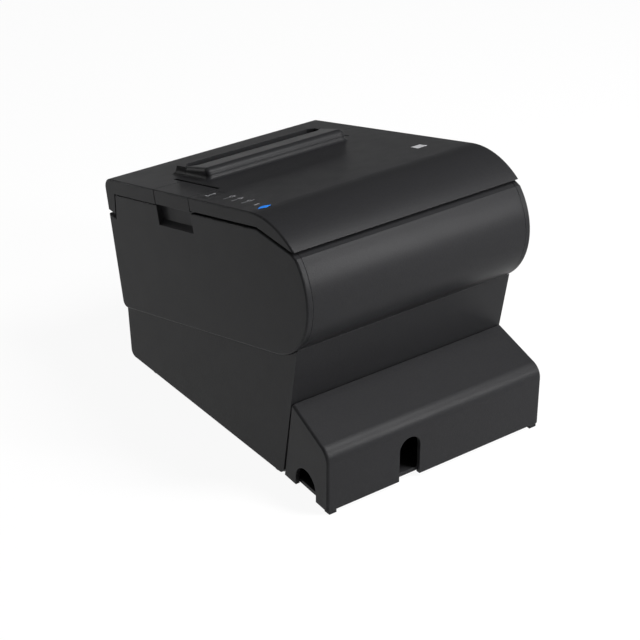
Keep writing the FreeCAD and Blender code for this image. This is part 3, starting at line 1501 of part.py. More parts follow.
def cutter_pinion():
    """Pinion on the cutter motor's shaft."""
    h0 = BLADE_H + BLADE_THICK / 2 + 0.2
    wheel = gear(PINION_TEETH, 0.4, 0, RACK_THICK - 0.2)
    wheel.rotate(V(0, 0, 0), V(0, 1, 0), -90)
    wheel.rotate(V(0, 0, 0), V(0, 0, 1), CUTTER_PHASE)
    wheel.translate(V(CUTTER_PINION_X, CUTTER_PINION_T, h0))
    shaft = rod_z(CUTTER_PINION_X, CUTTER_PINION_T, 1.5, CUTTER_PLATE_H - 12, h0 + 1)
    return on_slope(wheel.fuse(shaft).removeSplitter())


def cutter_motor():
    """Geared cutter motor under the cutter plate."""
    x, t = CUTTER_PINION_X, CUTTER_PINION_T
    top = CUTTER_PLATE_H
    head = block(x - 9, x + 9, t - 9, t + 9, top - 8, top)
    can = rod_z(x, t, CUTTER_MOTOR_RADIUS, top - 26, top - 7)
    boss = rod_z(x, t, 2.6, top - 1, top + SHEET)
    motor = head.fuse([can, boss]).removeSplitter()
    return on_slope(motor.cut(rod_z(x, t, 1.5 + RUN_CLEARANCE, top - 13, top + 9)))


# Electronics


def main_board():
    """Circuit board on its posts, with its main components."""
    z = BOARD_Z
    board = block(-BOARD_HALF, BOARD_HALF, BOARD_NEAR_Y, BOARD_FAR_Y, z, z + BOARD_THICK)
    for x, y in frame_posts():
        board = board.cut(rod_z(x, y, POST_RADIUS + 1.0, z - 1, z + 5))
    top = z + BOARD_THICK
    for x0, x1, y0, y1, height in BOARD_CHIPS:
        board = board.fuse(block(x0, x1, y0, y1, top - 0.2, top + height))
    return board.removeSplitter()


def socket(name):
    """Socket on the board's edge, with its mouth towards the cable cover."""
    x, width, height = SOCKETS[name]
    mouth_width, mouth_height, depth = SOCKET_MOUTHS[name]
    z = BOARD_Z + BOARD_THICK
    front = SOCKET_FRONT_Y
    body = block(x - width / 2, x + width / 2, front, front + SOCKET_DEPTH, z, z + height)
    middle = z + height / 2
    low, high = middle - mouth_height / 2, middle + mouth_height / 2
    mouth = block(x - mouth_width / 2, x + mouth_width / 2, front - 1, front + depth, low, high)
    return body.cut(mouth)


def build():
    """Every node of the printer, by name."""
    nodes = {
        "lower_case": lower_case(),
        "rubber_feet": rubber_feet(),
        "left_side_cover": left_side_cover(),
        "right_side_cover": side_cover(),
        "customer_panel": customer_panel(),
        "operator_panel": operator_panel(),
        "power_switch_frame": switch_frame(),
        "power_rocker": power_rocker(),
        "main_frame": main_frame(),
        "frame_screws": frame_screws(),
        "paper_bay": paper_bay(),
        "paper_sensor": paper_sensor(),
        "hinge_pins": hinge_pins(),
        "feed_motor": feed_motor(),
        "motor_pinion": motor_pinion(),
        "idler_gear": idler_gear(),
        "idler_post": idler_post(),
        "print_head": print_head(),
        "head_sink": head_sink(),
        "head_pin": head_pin(),
        "cutter_plate": cutter_plate(),
        "cutter_motor": cutter_motor(),
        "cutter_pinion": cutter_pinion(),
        "cutter_blade": cutter_blade(),
        "cutter_rack": cutter_rack(),
        "main_board": main_board(),
        "lever_bracket": lever_bracket(),
        "lever_pin": lever_pin(),
        "open_lever": open_lever(),
        "lock_shaft": lock_shaft(),
        "lock_hooks": lock_hooks(),
        "cutter_cover": cutter_cover(),
        "cable_cover": cable_cover(),
        "cable_cover_plate": cable_cover_plate(),
        "lid_shell": lid_shell(),
        "left_hinge_arm": hinge_arm(-1),
        "right_hinge_arm": hinge_arm(1),
        "platen_carrier": platen_carrier(),
        "platen_bushes": platen_bushes(),
        "fixed_blade": fixed_blade(),
        "platen_shaft": platen_shaft(),
        "platen_rubber": platen_rubber(),
        "platen_gear": platen_gear(),
        "feed_button": feed_button(),
        "indicator_lenses": indicator_lenses(),
        "control_board": control_board(),
    }
    for name in SOCKETS:
        nodes[name] = socket(name)
    return nodes


os.makedirs("parts", exist_ok=True)
for node, shape in build().items():
    shape.exportStep(os.path.join("parts", node + ".step"))
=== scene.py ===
"""Receipt printer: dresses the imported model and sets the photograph's view of it."""

import json
import logging
import math
from dataclasses import dataclass, field
from enum import Enum

import bmesh
import bpy
from mathutils import Matrix, Vector


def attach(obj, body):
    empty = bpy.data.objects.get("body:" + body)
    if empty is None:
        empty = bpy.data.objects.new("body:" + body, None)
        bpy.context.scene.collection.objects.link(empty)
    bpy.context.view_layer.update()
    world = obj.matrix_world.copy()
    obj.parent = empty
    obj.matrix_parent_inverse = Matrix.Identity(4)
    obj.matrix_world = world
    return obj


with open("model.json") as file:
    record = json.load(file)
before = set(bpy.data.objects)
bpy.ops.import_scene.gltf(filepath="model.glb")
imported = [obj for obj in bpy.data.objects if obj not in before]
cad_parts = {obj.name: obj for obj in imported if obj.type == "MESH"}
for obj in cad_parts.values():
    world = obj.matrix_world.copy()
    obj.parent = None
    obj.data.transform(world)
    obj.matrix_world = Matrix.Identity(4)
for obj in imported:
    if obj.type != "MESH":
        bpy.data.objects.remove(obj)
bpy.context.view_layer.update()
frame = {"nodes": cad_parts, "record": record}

log = logging.getLogger("receipt_printer")

MM = 0.001
SLOPE = math.radians(13.81)
SLOPE_MID_Z = 136.3

# Places of the colour sockets on a Mix node, and the value a noise swings about.
MIX_FIRST, MIX_SECOND, MIX_RESULT = 6, 7, 2
NOISE_MIDDLE = 0.5

Point = tuple[float, float]
Triple = tuple[float, float, float]
Outline = list[Point]


class Sheen(Enum):
    """How the light leaves a surface, as a roughness."""

    MATT = 0.62
    SATIN = 0.39
    SMOOTH = 0.28
    POLISHED = 0.16


@dataclass
class NodeGroups:
    """Shader node groups that the finishes share."""

    grain_detail: float = 3.0
    sheen_patch_scale: float = 90.0
    speckle_scale: float = 1500.0
    line_detail: float = 4.0
    line_stretch: Triple = (0.03, 1.0, 1.0)
    edge_samples: int = 4
    edge_starts: float = 0.98
    edge_full: float = 0.80
    grain: bpy.types.NodeTree = field(init=False)
    mottle: bpy.types.NodeTree = field(init=False)
    brush: bpy.types.NodeTree = field(init=False)
    soft_edge: bpy.types.NodeTree = field(init=False)

    def __post_init__(self) -> None:
        """Builds each group once."""
        self.grain = self._grain()
        self.mottle = self._mottle()
        self.brush = self._brush()
        self.soft_edge = self._soft_edge()

    @staticmethod
    def _start(name: str, inputs: dict[str, float], outputs: dict[str, str]) -> bpy.types.NodeTree:
        """Makes an empty group with its sockets.

        Args:
            name: the group's name.
            inputs: float inputs and their defaults.
            outputs: outputs and their socket types.

        Returns:
            The new node tree, with its input and output nodes placed.
        """
        tree = bpy.data.node_groups.new(name, "ShaderNodeTree")
        for label, value in inputs.items():
            socket = tree.interface.new_socket(
                label, in_out="INPUT", socket_type="NodeSocketFloat"
            )
            socket.default_value = value
        for label, kind in outputs.items():
            tree.interface.new_socket(label, in_out="OUTPUT", socket_type=kind)
        tree.nodes.new("NodeGroupInput").name = "in"
        tree.nodes.new("NodeGroupOutput").name = "out"
        return tree

    @staticmethod
    def _noise(
        tree: bpy.types.NodeTree, detail: float = 2.0, stretch: Triple | None = None
    ) -> bpy.types.Node:
        """Adds a noise that lies still on the object.

        Args:
            tree: the group.
            detail: how many finer layers it has.
            stretch: a scale for each axis, where it isn't even.

        Returns:
            The noise node.
        """
        noise = tree.nodes.new("ShaderNodeTexNoise")
        noise.inputs["Detail"].default_value = detail
        place = tree.nodes.new("ShaderNodeTexCoord").outputs["Object"]
        if stretch is not None:
            mapping = tree.nodes.new("ShaderNodeMapping")
            mapping.inputs["Scale"].default_value = stretch
            tree.links.new(place, mapping.inputs["Vector"])
            place = mapping.outputs["Vector"]
        tree.links.new(place, noise.inputs["Vector"])
        return noise

    @staticmethod
    def _swing(
        tree: bpy.types.NodeTree, noise: bpy.types.Node, amount: str, base: str = ""
    ) -> bpy.types.NodeSocket:
        """Makes a value that swings with a noise.

        Args:
            tree: the group.
            noise: the noise node.
            amount: the group's input that says how far it swings.
            base: the group's input that it swings about, or nothing for 1.

        Returns:
            The swung value.
        """
        centre = tree.nodes.new("ShaderNodeMath")
        centre.operation = "SUBTRACT"
        centre.inputs[1].default_value = NOISE_MIDDLE
        swing = tree.nodes.new("ShaderNodeMath")
        swing.operation = "MULTIPLY_ADD"
        swing.inputs[2].default_value = 1.0
        given = tree.nodes["in"].outputs
        tree.links.new(noise.outputs["Fac"], centre.inputs[0])
        tree.links.new(centre.outputs[0], swing.inputs[0])
        tree.links.new(given[amount], swing.inputs[1])
        if base:
            tree.links.new(given[base], swing.inputs[2])
        return swing.outputs[0]

    def _grain(self) -> bpy.types.NodeTree:
        """Fine spark-eroded texture of a moulding: a height and a roughness.

        Returns:
            The group.
        """
        tree = self._start(
            "spark_grain",
            {"Scale": 1600.0, "Roughness": 0.5, "Spread": 0.08},
            {"Height": "NodeSocketFloat", "Roughness": "NodeSocketFloat"},
        )
        nodes, link = tree.nodes, tree.links.new
        fine = self._noise(tree, self.grain_detail)
        coarse = self._noise(tree)
        coarse.inputs["Scale"].default_value = self.sheen_patch_scale
        link(nodes["in"].outputs["Scale"], fine.inputs["Scale"])
        link(fine.outputs["Fac"], nodes["out"].inputs["Height"])
        roughness = self._swing(tree, coarse, "Spread", "Roughness")
        link(roughness, nodes["out"].inputs["Roughness"])
        return tree

    def _mottle(self) -> bpy.types.NodeTree:
        """Slow change of tone over a surface, and a finer speckle in it.

        Returns:
            The group.
        """
        tree = self._start(
            "tone_mottle",
            {"Scale": 14.0, "Amount": 0.08, "Speckle": 0.05},
            {"Tone": "NodeSocketFloat"},
        )
        nodes, link = tree.nodes, tree.links.new
        slow = self._noise(tree)
        quick = self._noise(tree)
        quick.inputs["Scale"].default_value = self.speckle_scale
        both = nodes.new("ShaderNodeMath")
        both.operation = "MULTIPLY"
        link(nodes["in"].outputs["Scale"], slow.inputs["Scale"])
        link(self._swing(tree, slow, "Amount"), both.inputs[0])
        link(self._swing(tree, quick, "Speckle"), both.inputs[1])
        link(both.outputs[0], nodes["out"].inputs["Tone"])
        return tree

    def _brush(self) -> bpy.types.NodeTree:
        """Fine lines left by grinding or rolling, along X.

        Returns:
            The group.
        """
        tree = self._start(
            "ground_lines",
            {"Scale": 900.0, "Roughness": 0.3, "Spread": 0.15},
            {"Height": "NodeSocketFloat", "Roughness": "NodeSocketFloat"},
        )
        nodes, link = tree.nodes, tree.links.new
        lines = self._noise(tree, self.line_detail, self.line_stretch)
        link(nodes["in"].outputs["Scale"], lines.inputs["Scale"])
        link(lines.outputs["Fac"], nodes["out"].inputs["Height"])
        roughness = self._swing(tree, lines, "Spread", "Roughness")
        link(roughness, nodes["out"].inputs["Roughness"])
        return tree

    def _soft_edge(self) -> bpy.types.NodeTree:
        """Rounded look of a sharp edge: a normal turned over it, and a mask of where it turns,
        which the finishes use to paint a highlight along the edge.

        Returns:
            The group.
        """
        tree = self._start(
            "soft_edge",
            {"Radius": 0.0004},
            {"Normal": "NodeSocketVector", "Edge": "NodeSocketFloat"},
        )
        nodes, link = tree.nodes, tree.links.new
        turned = nodes.new("ShaderNodeBevel")
        turned.samples = self.edge_samples
        face = nodes.new("ShaderNodeNewGeometry")
        agree = nodes.new("ShaderNodeVectorMath")
        agree.operation = "DOT_PRODUCT"
        differ = nodes.new("ShaderNodeMapRange")
        differ.inputs["From Min"].default_value = self.edge_starts
        differ.inputs["From Max"].default_value = self.edge_full
        link(nodes["in"].outputs["Radius"], turned.inputs["Radius"])
        link(turned.outputs["Normal"], agree.inputs[0])
        link(face.outputs["Normal"], agree.inputs[1])
        link(agree.outputs["Value"], differ.inputs["Value"])
        link(turned.outputs["Normal"], nodes["out"].inputs["Normal"])
        link(differ.outputs["Result"], nodes["out"].inputs["Edge"])
        return tree


@dataclass(frozen=True)
class Finish:
    """A surface finish and the material made from it."""

    name: str
    colour: Triple
    sheen: Sheen = Sheen.MATT
    metallic: float = 0.0
    specular: float = 0.5
    brushed: bool = False
    texture_scale: float = 1600.0
    texture_depth: float = 0.00004
    tone_amount: float = 0.08
    speckle: float = 0.05
    roughness_spread: float = 0.08
    coat: float = 0.0
    edge_radius: float = 0.0003
    # painted highlight: how much the base colour is lightened along sharp edges
    painted_edge_light: float = 0.25

    def material(self, groups: NodeGroups) -> bpy.types.Material:
        """Builds the material.

        Args:
            groups: the shared node groups.

        Returns:
            The new material.
        """
        made = bpy.data.materials.new(self.name)
        made.use_nodes = True
        nodes, link = made.node_tree.nodes, made.node_tree.links.new
        shader = nodes["Principled BSDF"]
        shader.inputs["Metallic"].default_value = self.metallic
        shader.inputs["Specular IOR Level"].default_value = self.specular
        shader.inputs["Coat Weight"].default_value = self.coat
        texture = nodes.new("ShaderNodeGroup")
        texture.node_tree = groups.brush if self.brushed else groups.grain
        texture.inputs["Scale"].default_value = self.texture_scale
        texture.inputs["Roughness"].default_value = self.sheen.value
        texture.inputs["Spread"].default_value = self.roughness_spread
        tone = nodes.new("ShaderNodeGroup")
        tone.node_tree = groups.mottle
        tone.inputs["Amount"].default_value = self.tone_amount
        tone.inputs["Speckle"].default_value = self.speckle
        edge = nodes.new("ShaderNodeGroup")
        edge.node_tree = groups.soft_edge
        edge.inputs["Radius"].default_value = self.edge_radius
        # painted highlight along sharp edges: the edge mask times painted_edge_light, added to the
        # random tone mottle, lightens the base colour
        mottle_and_painted_edge_highlight = nodes.new("ShaderNodeMath")
        mottle_and_painted_edge_highlight.operation = "MULTIPLY_ADD"
        mottle_and_painted_edge_highlight.inputs[1].default_value = self.painted_edge_light
        tint = nodes.new("ShaderNodeMix")
        tint.data_type = "RGBA"
        tint.blend_type = "MULTIPLY"
        tint.inputs["Factor"].default_value = 1.0
        tint.inputs[MIX_FIRST].default_value = (*self.colour, 1.0)
        bump = nodes.new("ShaderNodeBump")
        bump.inputs["Distance"].default_value = self.texture_depth
        bump.inputs["Strength"].default_value = 1.0
        link(edge.outputs["Edge"], mottle_and_painted_edge_highlight.inputs[0])
        link(tone.outputs["Tone"], mottle_and_painted_edge_highlight.inputs[2])
        link(mottle_and_painted_edge_highlight.outputs[0], tint.inputs[MIX_SECOND])
        link(tint.outputs[MIX_RESULT], shader.inputs["Base Color"])
        link(texture.outputs["Roughness"], shader.inputs["Roughness"])
        link(texture.outputs["Height"], bump.inputs["Height"])
        link(edge.outputs["Normal"], bump.inputs["Normal"])
        link(bump.outputs["Normal"], shader.inputs["Normal"])
        return made


# The case plastic carries a stronger painted edge highlight (painted_edge_light 0.6) than the
# other finishes.
CASE_PLASTIC = Finish(
    "case_plastic", (0.0145, 0.0145, 0.0155), Sheen.SATIN, specular=0.08,
    texture_scale=1200.0, texture_depth=0.00006, speckle=0.6, tone_amount=0.03, painted_edge_light=0.6,
)
INNER_PLASTIC = Finish(
    "inner_plastic", (0.042, 0.042, 0.045), Sheen.SATIN, specular=0.3, speckle=0.2
)
SWITCH_PLASTIC = Finish(
    "switch_plastic", (0.010, 0.010, 0.011), Sheen.SMOOTH, texture_depth=0.00001
)
RUBBER = Finish("rubber", (0.014, 0.014, 0.014), Sheen.MATT, texture_scale=700.0)
SHEET_STEEL = Finish(
    "zinc_sheet", (0.48, 0.49, 0.50), Sheen.SATIN, metallic=1.0,
    tone_amount=0.3, roughness_spread=0.3,
)
BRIGHT_STEEL = Finish(
    "ground_steel", (0.56, 0.56, 0.57), Sheen.SMOOTH, metallic=1.0,
    brushed=True, texture_depth=0.00001,
)
MOTOR_STEEL = Finish(
    "drawn_can", (0.36, 0.36, 0.37), Sheen.SATIN, metallic=1.0,
    brushed=True, texture_depth=0.00001,
)
GEAR_PLASTIC = Finish("gear_plastic", (0.70, 0.69, 0.63), Sheen.SATIN, texture_depth=0.00001)
BRASS = Finish(
    "brass", (0.66, 0.47, 0.18), Sheen.SMOOTH, metallic=1.0,
    brushed=True, texture_depth=0.00001,
)
CERAMIC = Finish(
    "glazed_ceramic", (0.30, 0.23, 0.17), Sheen.POLISHED, coat=0.6, texture_depth=0.000005
)
ALUMINIUM = Finish(
    "extruded_aluminium", (0.56, 0.57, 0.58), Sheen.SATIN, metallic=1.0,
    brushed=True, texture_depth=0.00001,
)
CIRCUIT = Finish(
    "solder_mask", (0.012, 0.10, 0.04), Sheen.SMOOTH, coat=0.3,
    tone_amount=0.25, texture_scale=500.0,
)
CLEAR_LENS = Finish(
    "clear_lens", (0.050, 0.052, 0.055), Sheen.SMOOTH, tone_amount=0.05, texture_depth=0.000004
)
SOCKET_PLASTIC = Finish("socket_plastic", (0.012, 0.012, 0.013), Sheen.SATIN)
TINNED_SHELL = Finish(
    "tinned_shell", (0.55, 0.55, 0.56), Sheen.SMOOTH, metallic=1.0,
    tone_amount=0.15, texture_depth=0.00001,
)
PRINT_WHITE = Finish("printed_white", (0.22, 0.22, 0.23), Sheen.MATT, texture_depth=0.000004)
PRINT_PALE = Finish("printed_pale", (0.36, 0.36, 0.37), Sheen.MATT, texture_depth=0.000004)
PRINT_BLUE = Finish("printed_blue", (0.001, 0.16, 0.62), Sheen.MATT, texture_depth=0.000004)
GOLD_CONTACT = Finish(
    "gold_contact", (0.72, 0.52, 0.20), Sheen.SMOOTH, metallic=1.0, texture_depth=0.000004
)

SLOT_FINISHES = {
    "case_plastic": CASE_PLASTIC,
    "switch_plastic": SWITCH_PLASTIC,
    "rubber": RUBBER,
    "inner_plastic": INNER_PLASTIC,
    "steel_sheet": SHEET_STEEL,
    "bright_steel": BRIGHT_STEEL,
    "hook_steel": SHEET_STEEL,
    "blade_steel": BRIGHT_STEEL,
    "motor_steel": MOTOR_STEEL,
    "gear_plastic": GEAR_PLASTIC,
    "brass": BRASS,
    "ceramic": CERAMIC,
    "aluminium": ALUMINIUM,
    "circuit_board": CIRCUIT,
    "lens": CLEAR_LENS,
    "socket_plastic": SOCKET_PLASTIC,
    "socket_shield": TINNED_SHELL,
}


@dataclass
class Workshop:
    """Keeps the materials, and dresses nodes and pieces with them."""

    groups: NodeGroups = field(default_factory=NodeGroups)
    made: dict[str, bpy.types.Material] = field(default_factory=dict)

    def material(self, finish: Finish) -> bpy.types.Material:
        """The material of a finish, built on first use.

        Args:
            finish: the finish.

        Returns:
            Its material.
        """
        if finish.name not in self.made:
            self.made[finish.name] = finish.material(self.groups)
        return self.made[finish.name]

    def dress_nodes(self) -> None:
        """Gives every CAD node the finish of its slot."""
        for entry in frame["record"]["subparts"]:
            node = frame["nodes"][entry["node"]]
            material = self.material(SLOT_FINISHES[entry["material_slot"]])
            for slot in node.material_slots:
                slot.material = material
            log.info("dressed %s", entry["node"])

    def finish_piece(
        self, name: str, mesh: bmesh.types.BMesh, body: str, slot: str, finish: Finish
    ) -> None:
        """Turns a mesh into a piece that rides on a body.

        Args:
            name: the piece's name.
            mesh: its mesh, in metres; freed here.
            body: the body it rides on.
            slot: the record's slot for the piece; not used.
            finish: its finish.
        """
        data = bpy.data.meshes.new(name)
        mesh.to_mesh(data)
        mesh.free()
        data.materials.append(self.material(finish))
        piece = bpy.data.objects.new(name, data)
        bpy.context.scene.collection.objects.link(piece)
        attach(piece, body)
        log.info("made %s", name)


def slope_point(x: float, t: float, h: float = 0.0) -> Vector:
    """A point on the sloped top, in metres.

    Args:
        x: millimetres to the right.
        t: millimetres down the slope from the middle, towards the paper exit end.
        h: millimetres above the slope.

    Returns:
        The point in the model's frame.
    """
    y = t * math.cos(SLOPE) + h * math.sin(SLOPE)
    z = SLOPE_MID_Z - t * math.sin(SLOPE) + h * math.cos(SLOPE)
    return Vector((x, y, z)) * MM


def arc(middle: Point, radius: float, start: float, end: float, steps: int) -> Outline:
    """Points along an arc.

    Args:
        middle: its centre.
        radius: its radius.
        start: the first angle in degrees.
        end: the last angle in degrees.
        steps: how many runs it is cut into.

    Returns:
        The points, first to last.
    """
    x, t = middle
    turns = (math.radians(start + (end - start) * step / steps) for step in range(steps + 1))
    return [(x + radius * math.cos(turn), t + radius * math.sin(turn)) for turn in turns]


def ring(middle: Point, radius: float, sides: int) -> Outline:
    """Corners of a regular loop."""
    return arc(middle, radius, 0.0, 360.0 - 360.0 / sides, sides - 1)


def bar(x0: float, x1: float, t0: float, t1: float) -> Outline:
    """Corners of a rectangle."""
    return [(x0, t0), (x1, t0), (x1, t1), (x0, t1)]


def grown(points: Outline, middle: Point, share: float) -> Outline:
    """Points drawn in or out about a middle."""
    return [tuple(m + (p - m) * share for p, m in zip(point, middle)) for point in points]


def ribbon(outer: Outline, inner: Outline, closed: bool = True) -> list[Outline]:
    """Quads between two lines of equally many points.

    Args:
        outer: points of one line.
        inner: points of the other.
        closed: whether the last quad goes back to the first points.

    Returns:
        The quads.
    """
    count = len(outer)
    pairs = [(i, (i + 1) % count) for i in range(count if closed else count - 1)]
    return [[outer[i], outer[j], inner[j], inner[i]] for i, j in pairs]


def loft(mesh: bmesh.types.BMesh, rings: list[list[Vector]]) -> None:
    """Adds a solid through closed rings of equally many points, with flat ends.

    Args:
        mesh: what it is added to.
        rings: the rings in order, in millimetres.
    """
    loops = [[mesh.verts.new(point * MM) for point in points] for points in rings]
    for first, second in zip(loops, loops[1:]):
        for i in range(len(first)):
            j = (i + 1) % len(first)
            mesh.faces.new((first[i], second[i], second[j], first[j]))
    mesh.faces.new(loops[-1])
    mesh.faces.new(loops[0][::-1])


@dataclass
class PrintedMarks:
    """Icons and plain marks printed on the lid and on the feed button."""

    shop: Workshop
    proud: float = 0.00005
    film: float = 0.0001
    weld: float = 0.00001
    drop: float = 12.0
    button_middle: Point = (-62.5, 9.8)
    icon_x: float = -59.2
    icon_ts: Triple = (-5.4, -13.4, -22.6)
    power_radii: Point = (1.6, 1.15)
    power_ends: Point = (35.0, 325.0)
    power_steps: int = 20
    fault_radius: float = 2.0
    fault_inside: float = 0.68
    paper_radii: Point = (1.25, 0.8)
    paper_sides: int = 24
    dash: tuple[float, ...] = (-63.6, -60.4, -33.2, -32.2)
    rectangle: tuple[float, ...] = (50.8, 57.2, -21.4, -15.0)
    lozenge_middle: Point = (-62.8, -40.9)
    lozenge_halves: Point = (4.0, 2.0)
    lozenge_steps: int = 32
    lozenge_pinch: float = 1.5

    def build(self) -> None:
        """Prints every mark."""
        power_t, fault_t, paper_t = self.icon_ts
        feed = self.feed_icon(*self.button_middle)
        self.print_mark("feed_icon", feed, "feed_button", "feed_button", PRINT_WHITE)
        for name, faces, finish in (
            ("power_icon", self.power_icon(self.icon_x, power_t), PRINT_WHITE),
            ("fault_icon", self.fault_icon(self.icon_x, fault_t), PRINT_WHITE),
            ("paper_icon", self.paper_icon(self.icon_x, paper_t), PRINT_WHITE),
            ("dash_mark", [bar(*self.dash)], PRINT_WHITE),
            ("blue_lozenge", self.lozenge(), PRINT_BLUE),
            ("pale_rectangle", [bar(*self.rectangle)], PRINT_PALE),
        ):
            self.print_mark(name, faces, "lid_shell", "lid", finish)

    @staticmethod
    def feed_icon(x: float, t: float) -> list[Outline]:
        """A short edge of paper and an arrow that leaves it.

        Args:
            x: its middle across the lid.
            t: its middle along the slope.

        Returns:
            Its faces.
        """
        edge = bar(x - 3.1, x - 2.4, t - 1.7, t + 1.7)
        shaft = bar(x - 1.7, x + 1.2, t - 0.35, t + 0.35)
        head = [(x + 1.2, t - 1.3), (x + 3.1, t), (x + 1.2, t + 1.3)]
        return [edge, shaft, head]

    def power_icon(self, x: float, t: float) -> list[Outline]:
        """An open ring and a bar.

        Args:
            x: its middle across the lid.
            t: its middle along the slope.

        Returns:
            Its faces.
        """
        start, end = self.power_ends
        outer, inner = (
            arc((x, t), radius, start, end, self.power_steps) for radius in self.power_radii
        )
        stroke = bar(x + 0.3, x + 1.9, t - 0.24, t + 0.24)
        return ribbon(outer, inner, closed=False) + [stroke]

    def fault_icon(self, x: float, t: float) -> list[Outline]:
        """A triangle round a bar and a dot.

        Args:
            x: its middle across the lid.
            t: its middle along the slope.

        Returns:
            Its faces.
        """
        outside = ring((x, t), self.fault_radius, 3)
        inside = grown(outside, (x, t), self.fault_inside)
        stroke = bar(x - 0.2, x + 0.75, t - 0.2, t + 0.2)
        dot = bar(x - 0.75, x - 0.42, t - 0.2, t + 0.2)
        return ribbon(outside, inside) + [stroke, dot]

    def paper_icon(self, x: float, t: float) -> list[Outline]:
        """A roll with the sheet that leaves it.

        Args:
            x: its middle across the lid.
            t: its middle along the slope.

        Returns:
            Its faces.
        """
        roll = (x - 0.5, t + 0.3)
        outer, inner = (ring(roll, radius, self.paper_sides) for radius in self.paper_radii)
        sheet = bar(x - 0.5, x + 2.0, t - 0.95, t - 0.55)
        return ribbon(outer, inner) + [sheet]

    def lozenge(self) -> list[Outline]:
        """A plain lozenge with softened corners.

        Returns:
            Its faces, round its middle.
        """
        loop = []
        for corner in ring((0.0, 0.0), 1.0, self.lozenge_steps):
            loop.append(tuple(
                middle + half * math.copysign(abs(share) ** self.lozenge_pinch, share)
                for middle, half, share in zip(self.lozenge_middle, self.lozenge_halves, corner)
            ))
        return [[a, b, self.lozenge_middle] for a, b in zip(loop, loop[1:] + loop[:1])]

    def on_skin(self, carrier: bpy.types.Object, x: float, t: float) -> Vector:
        """The place of the print over a node's skin, straight under a place on the slope.

        Args:
            carrier: the node.
            x: millimetres to the right.
            t: millimetres along the slope.

        Returns:
            The point, a little proud of the skin.
        """
        above = slope_point(x, t, self.drop)
        hit, point, normal, _ = carrier.ray_cast(above, slope_point(x, t) - above)
        if not hit:
            raise ValueError(f"no skin under {x}, {t}")
        return point + normal * self.proud

    def print_mark(
        self, name: str, faces: list[Outline], node: str, body: str, finish: Finish
    ) -> None:
        """Prints one mark as a thin film on a node's skin.

        Args:
            name: the piece's name.
            faces: its outlines on the slope, in millimetres.
            node: the CAD node that carries it.
            body: the body it rides on.
            finish: its finish.
        """
        carrier = frame["nodes"][node]
        mark = bmesh.new()
        for outline in faces:
            mark.faces.new([mark.verts.new(self.on_skin(carrier, x, t)) for x, t in outline])
        bmesh.ops.remove_doubles(mark, verts=mark.verts, dist=self.weld)
        bmesh.ops.recalc_face_normals(mark, faces=mark.faces)
        down = (slope_point(0.0, 0.0, -1.0) - slope_point(0.0, 0.0)).normalized() * self.film
        top = mark.faces[:]
        for face in top:
            if face.normal.dot(down) > 0:
                face.normal_flip()
        under = bmesh.ops.extrude_face_region(mark, geom=top, use_keep_orig=True)["geom"]
        sunk = [part for part in under if isinstance(part, bmesh.types.BMVert)]
        bmesh.ops.translate(mark, vec=down, verts=sunk)
        bmesh.ops.recalc_face_normals(mark, faces=mark.faces)
        self.shop.finish_piece(name, mark, body, "lens", finish)


@dataclass
class SeamLip:
    """Moulded lip of the lower case that closes the seam under the bulged panel."""

    shop: Workshop
    half_length: float = 69.0
    section: tuple[Point, ...] = (
        (-77.55, 83.22), (-77.62, 83.55), (-77.50, 83.84), (-77.30, 83.90),
        (-75.40, 83.90), (-75.40, 81.33), (-76.00, 81.81), (-77.00, 82.70),
    )

    def build(self) -> None:
        """Runs the section across the case."""
        ends = (-self.half_length, self.half_length)
        lip = bmesh.new()
        loft(lip, [[Vector((x, y, z)) for y, z in self.section] for x in ends])
        bmesh.ops.recalc_face_normals(lip, faces=lip.faces)
        self.shop.finish_piece("seam_lip", lip, "housing", "case_plastic", CASE_PLASTIC)


@dataclass(frozen=True)
class ContactRow:
    """A row of spring wires: where its mouth is, how many wires, their pitch and their reach."""

    name: str
    x: float
    rise: float
    count: int
    pitch: float
    reach: float


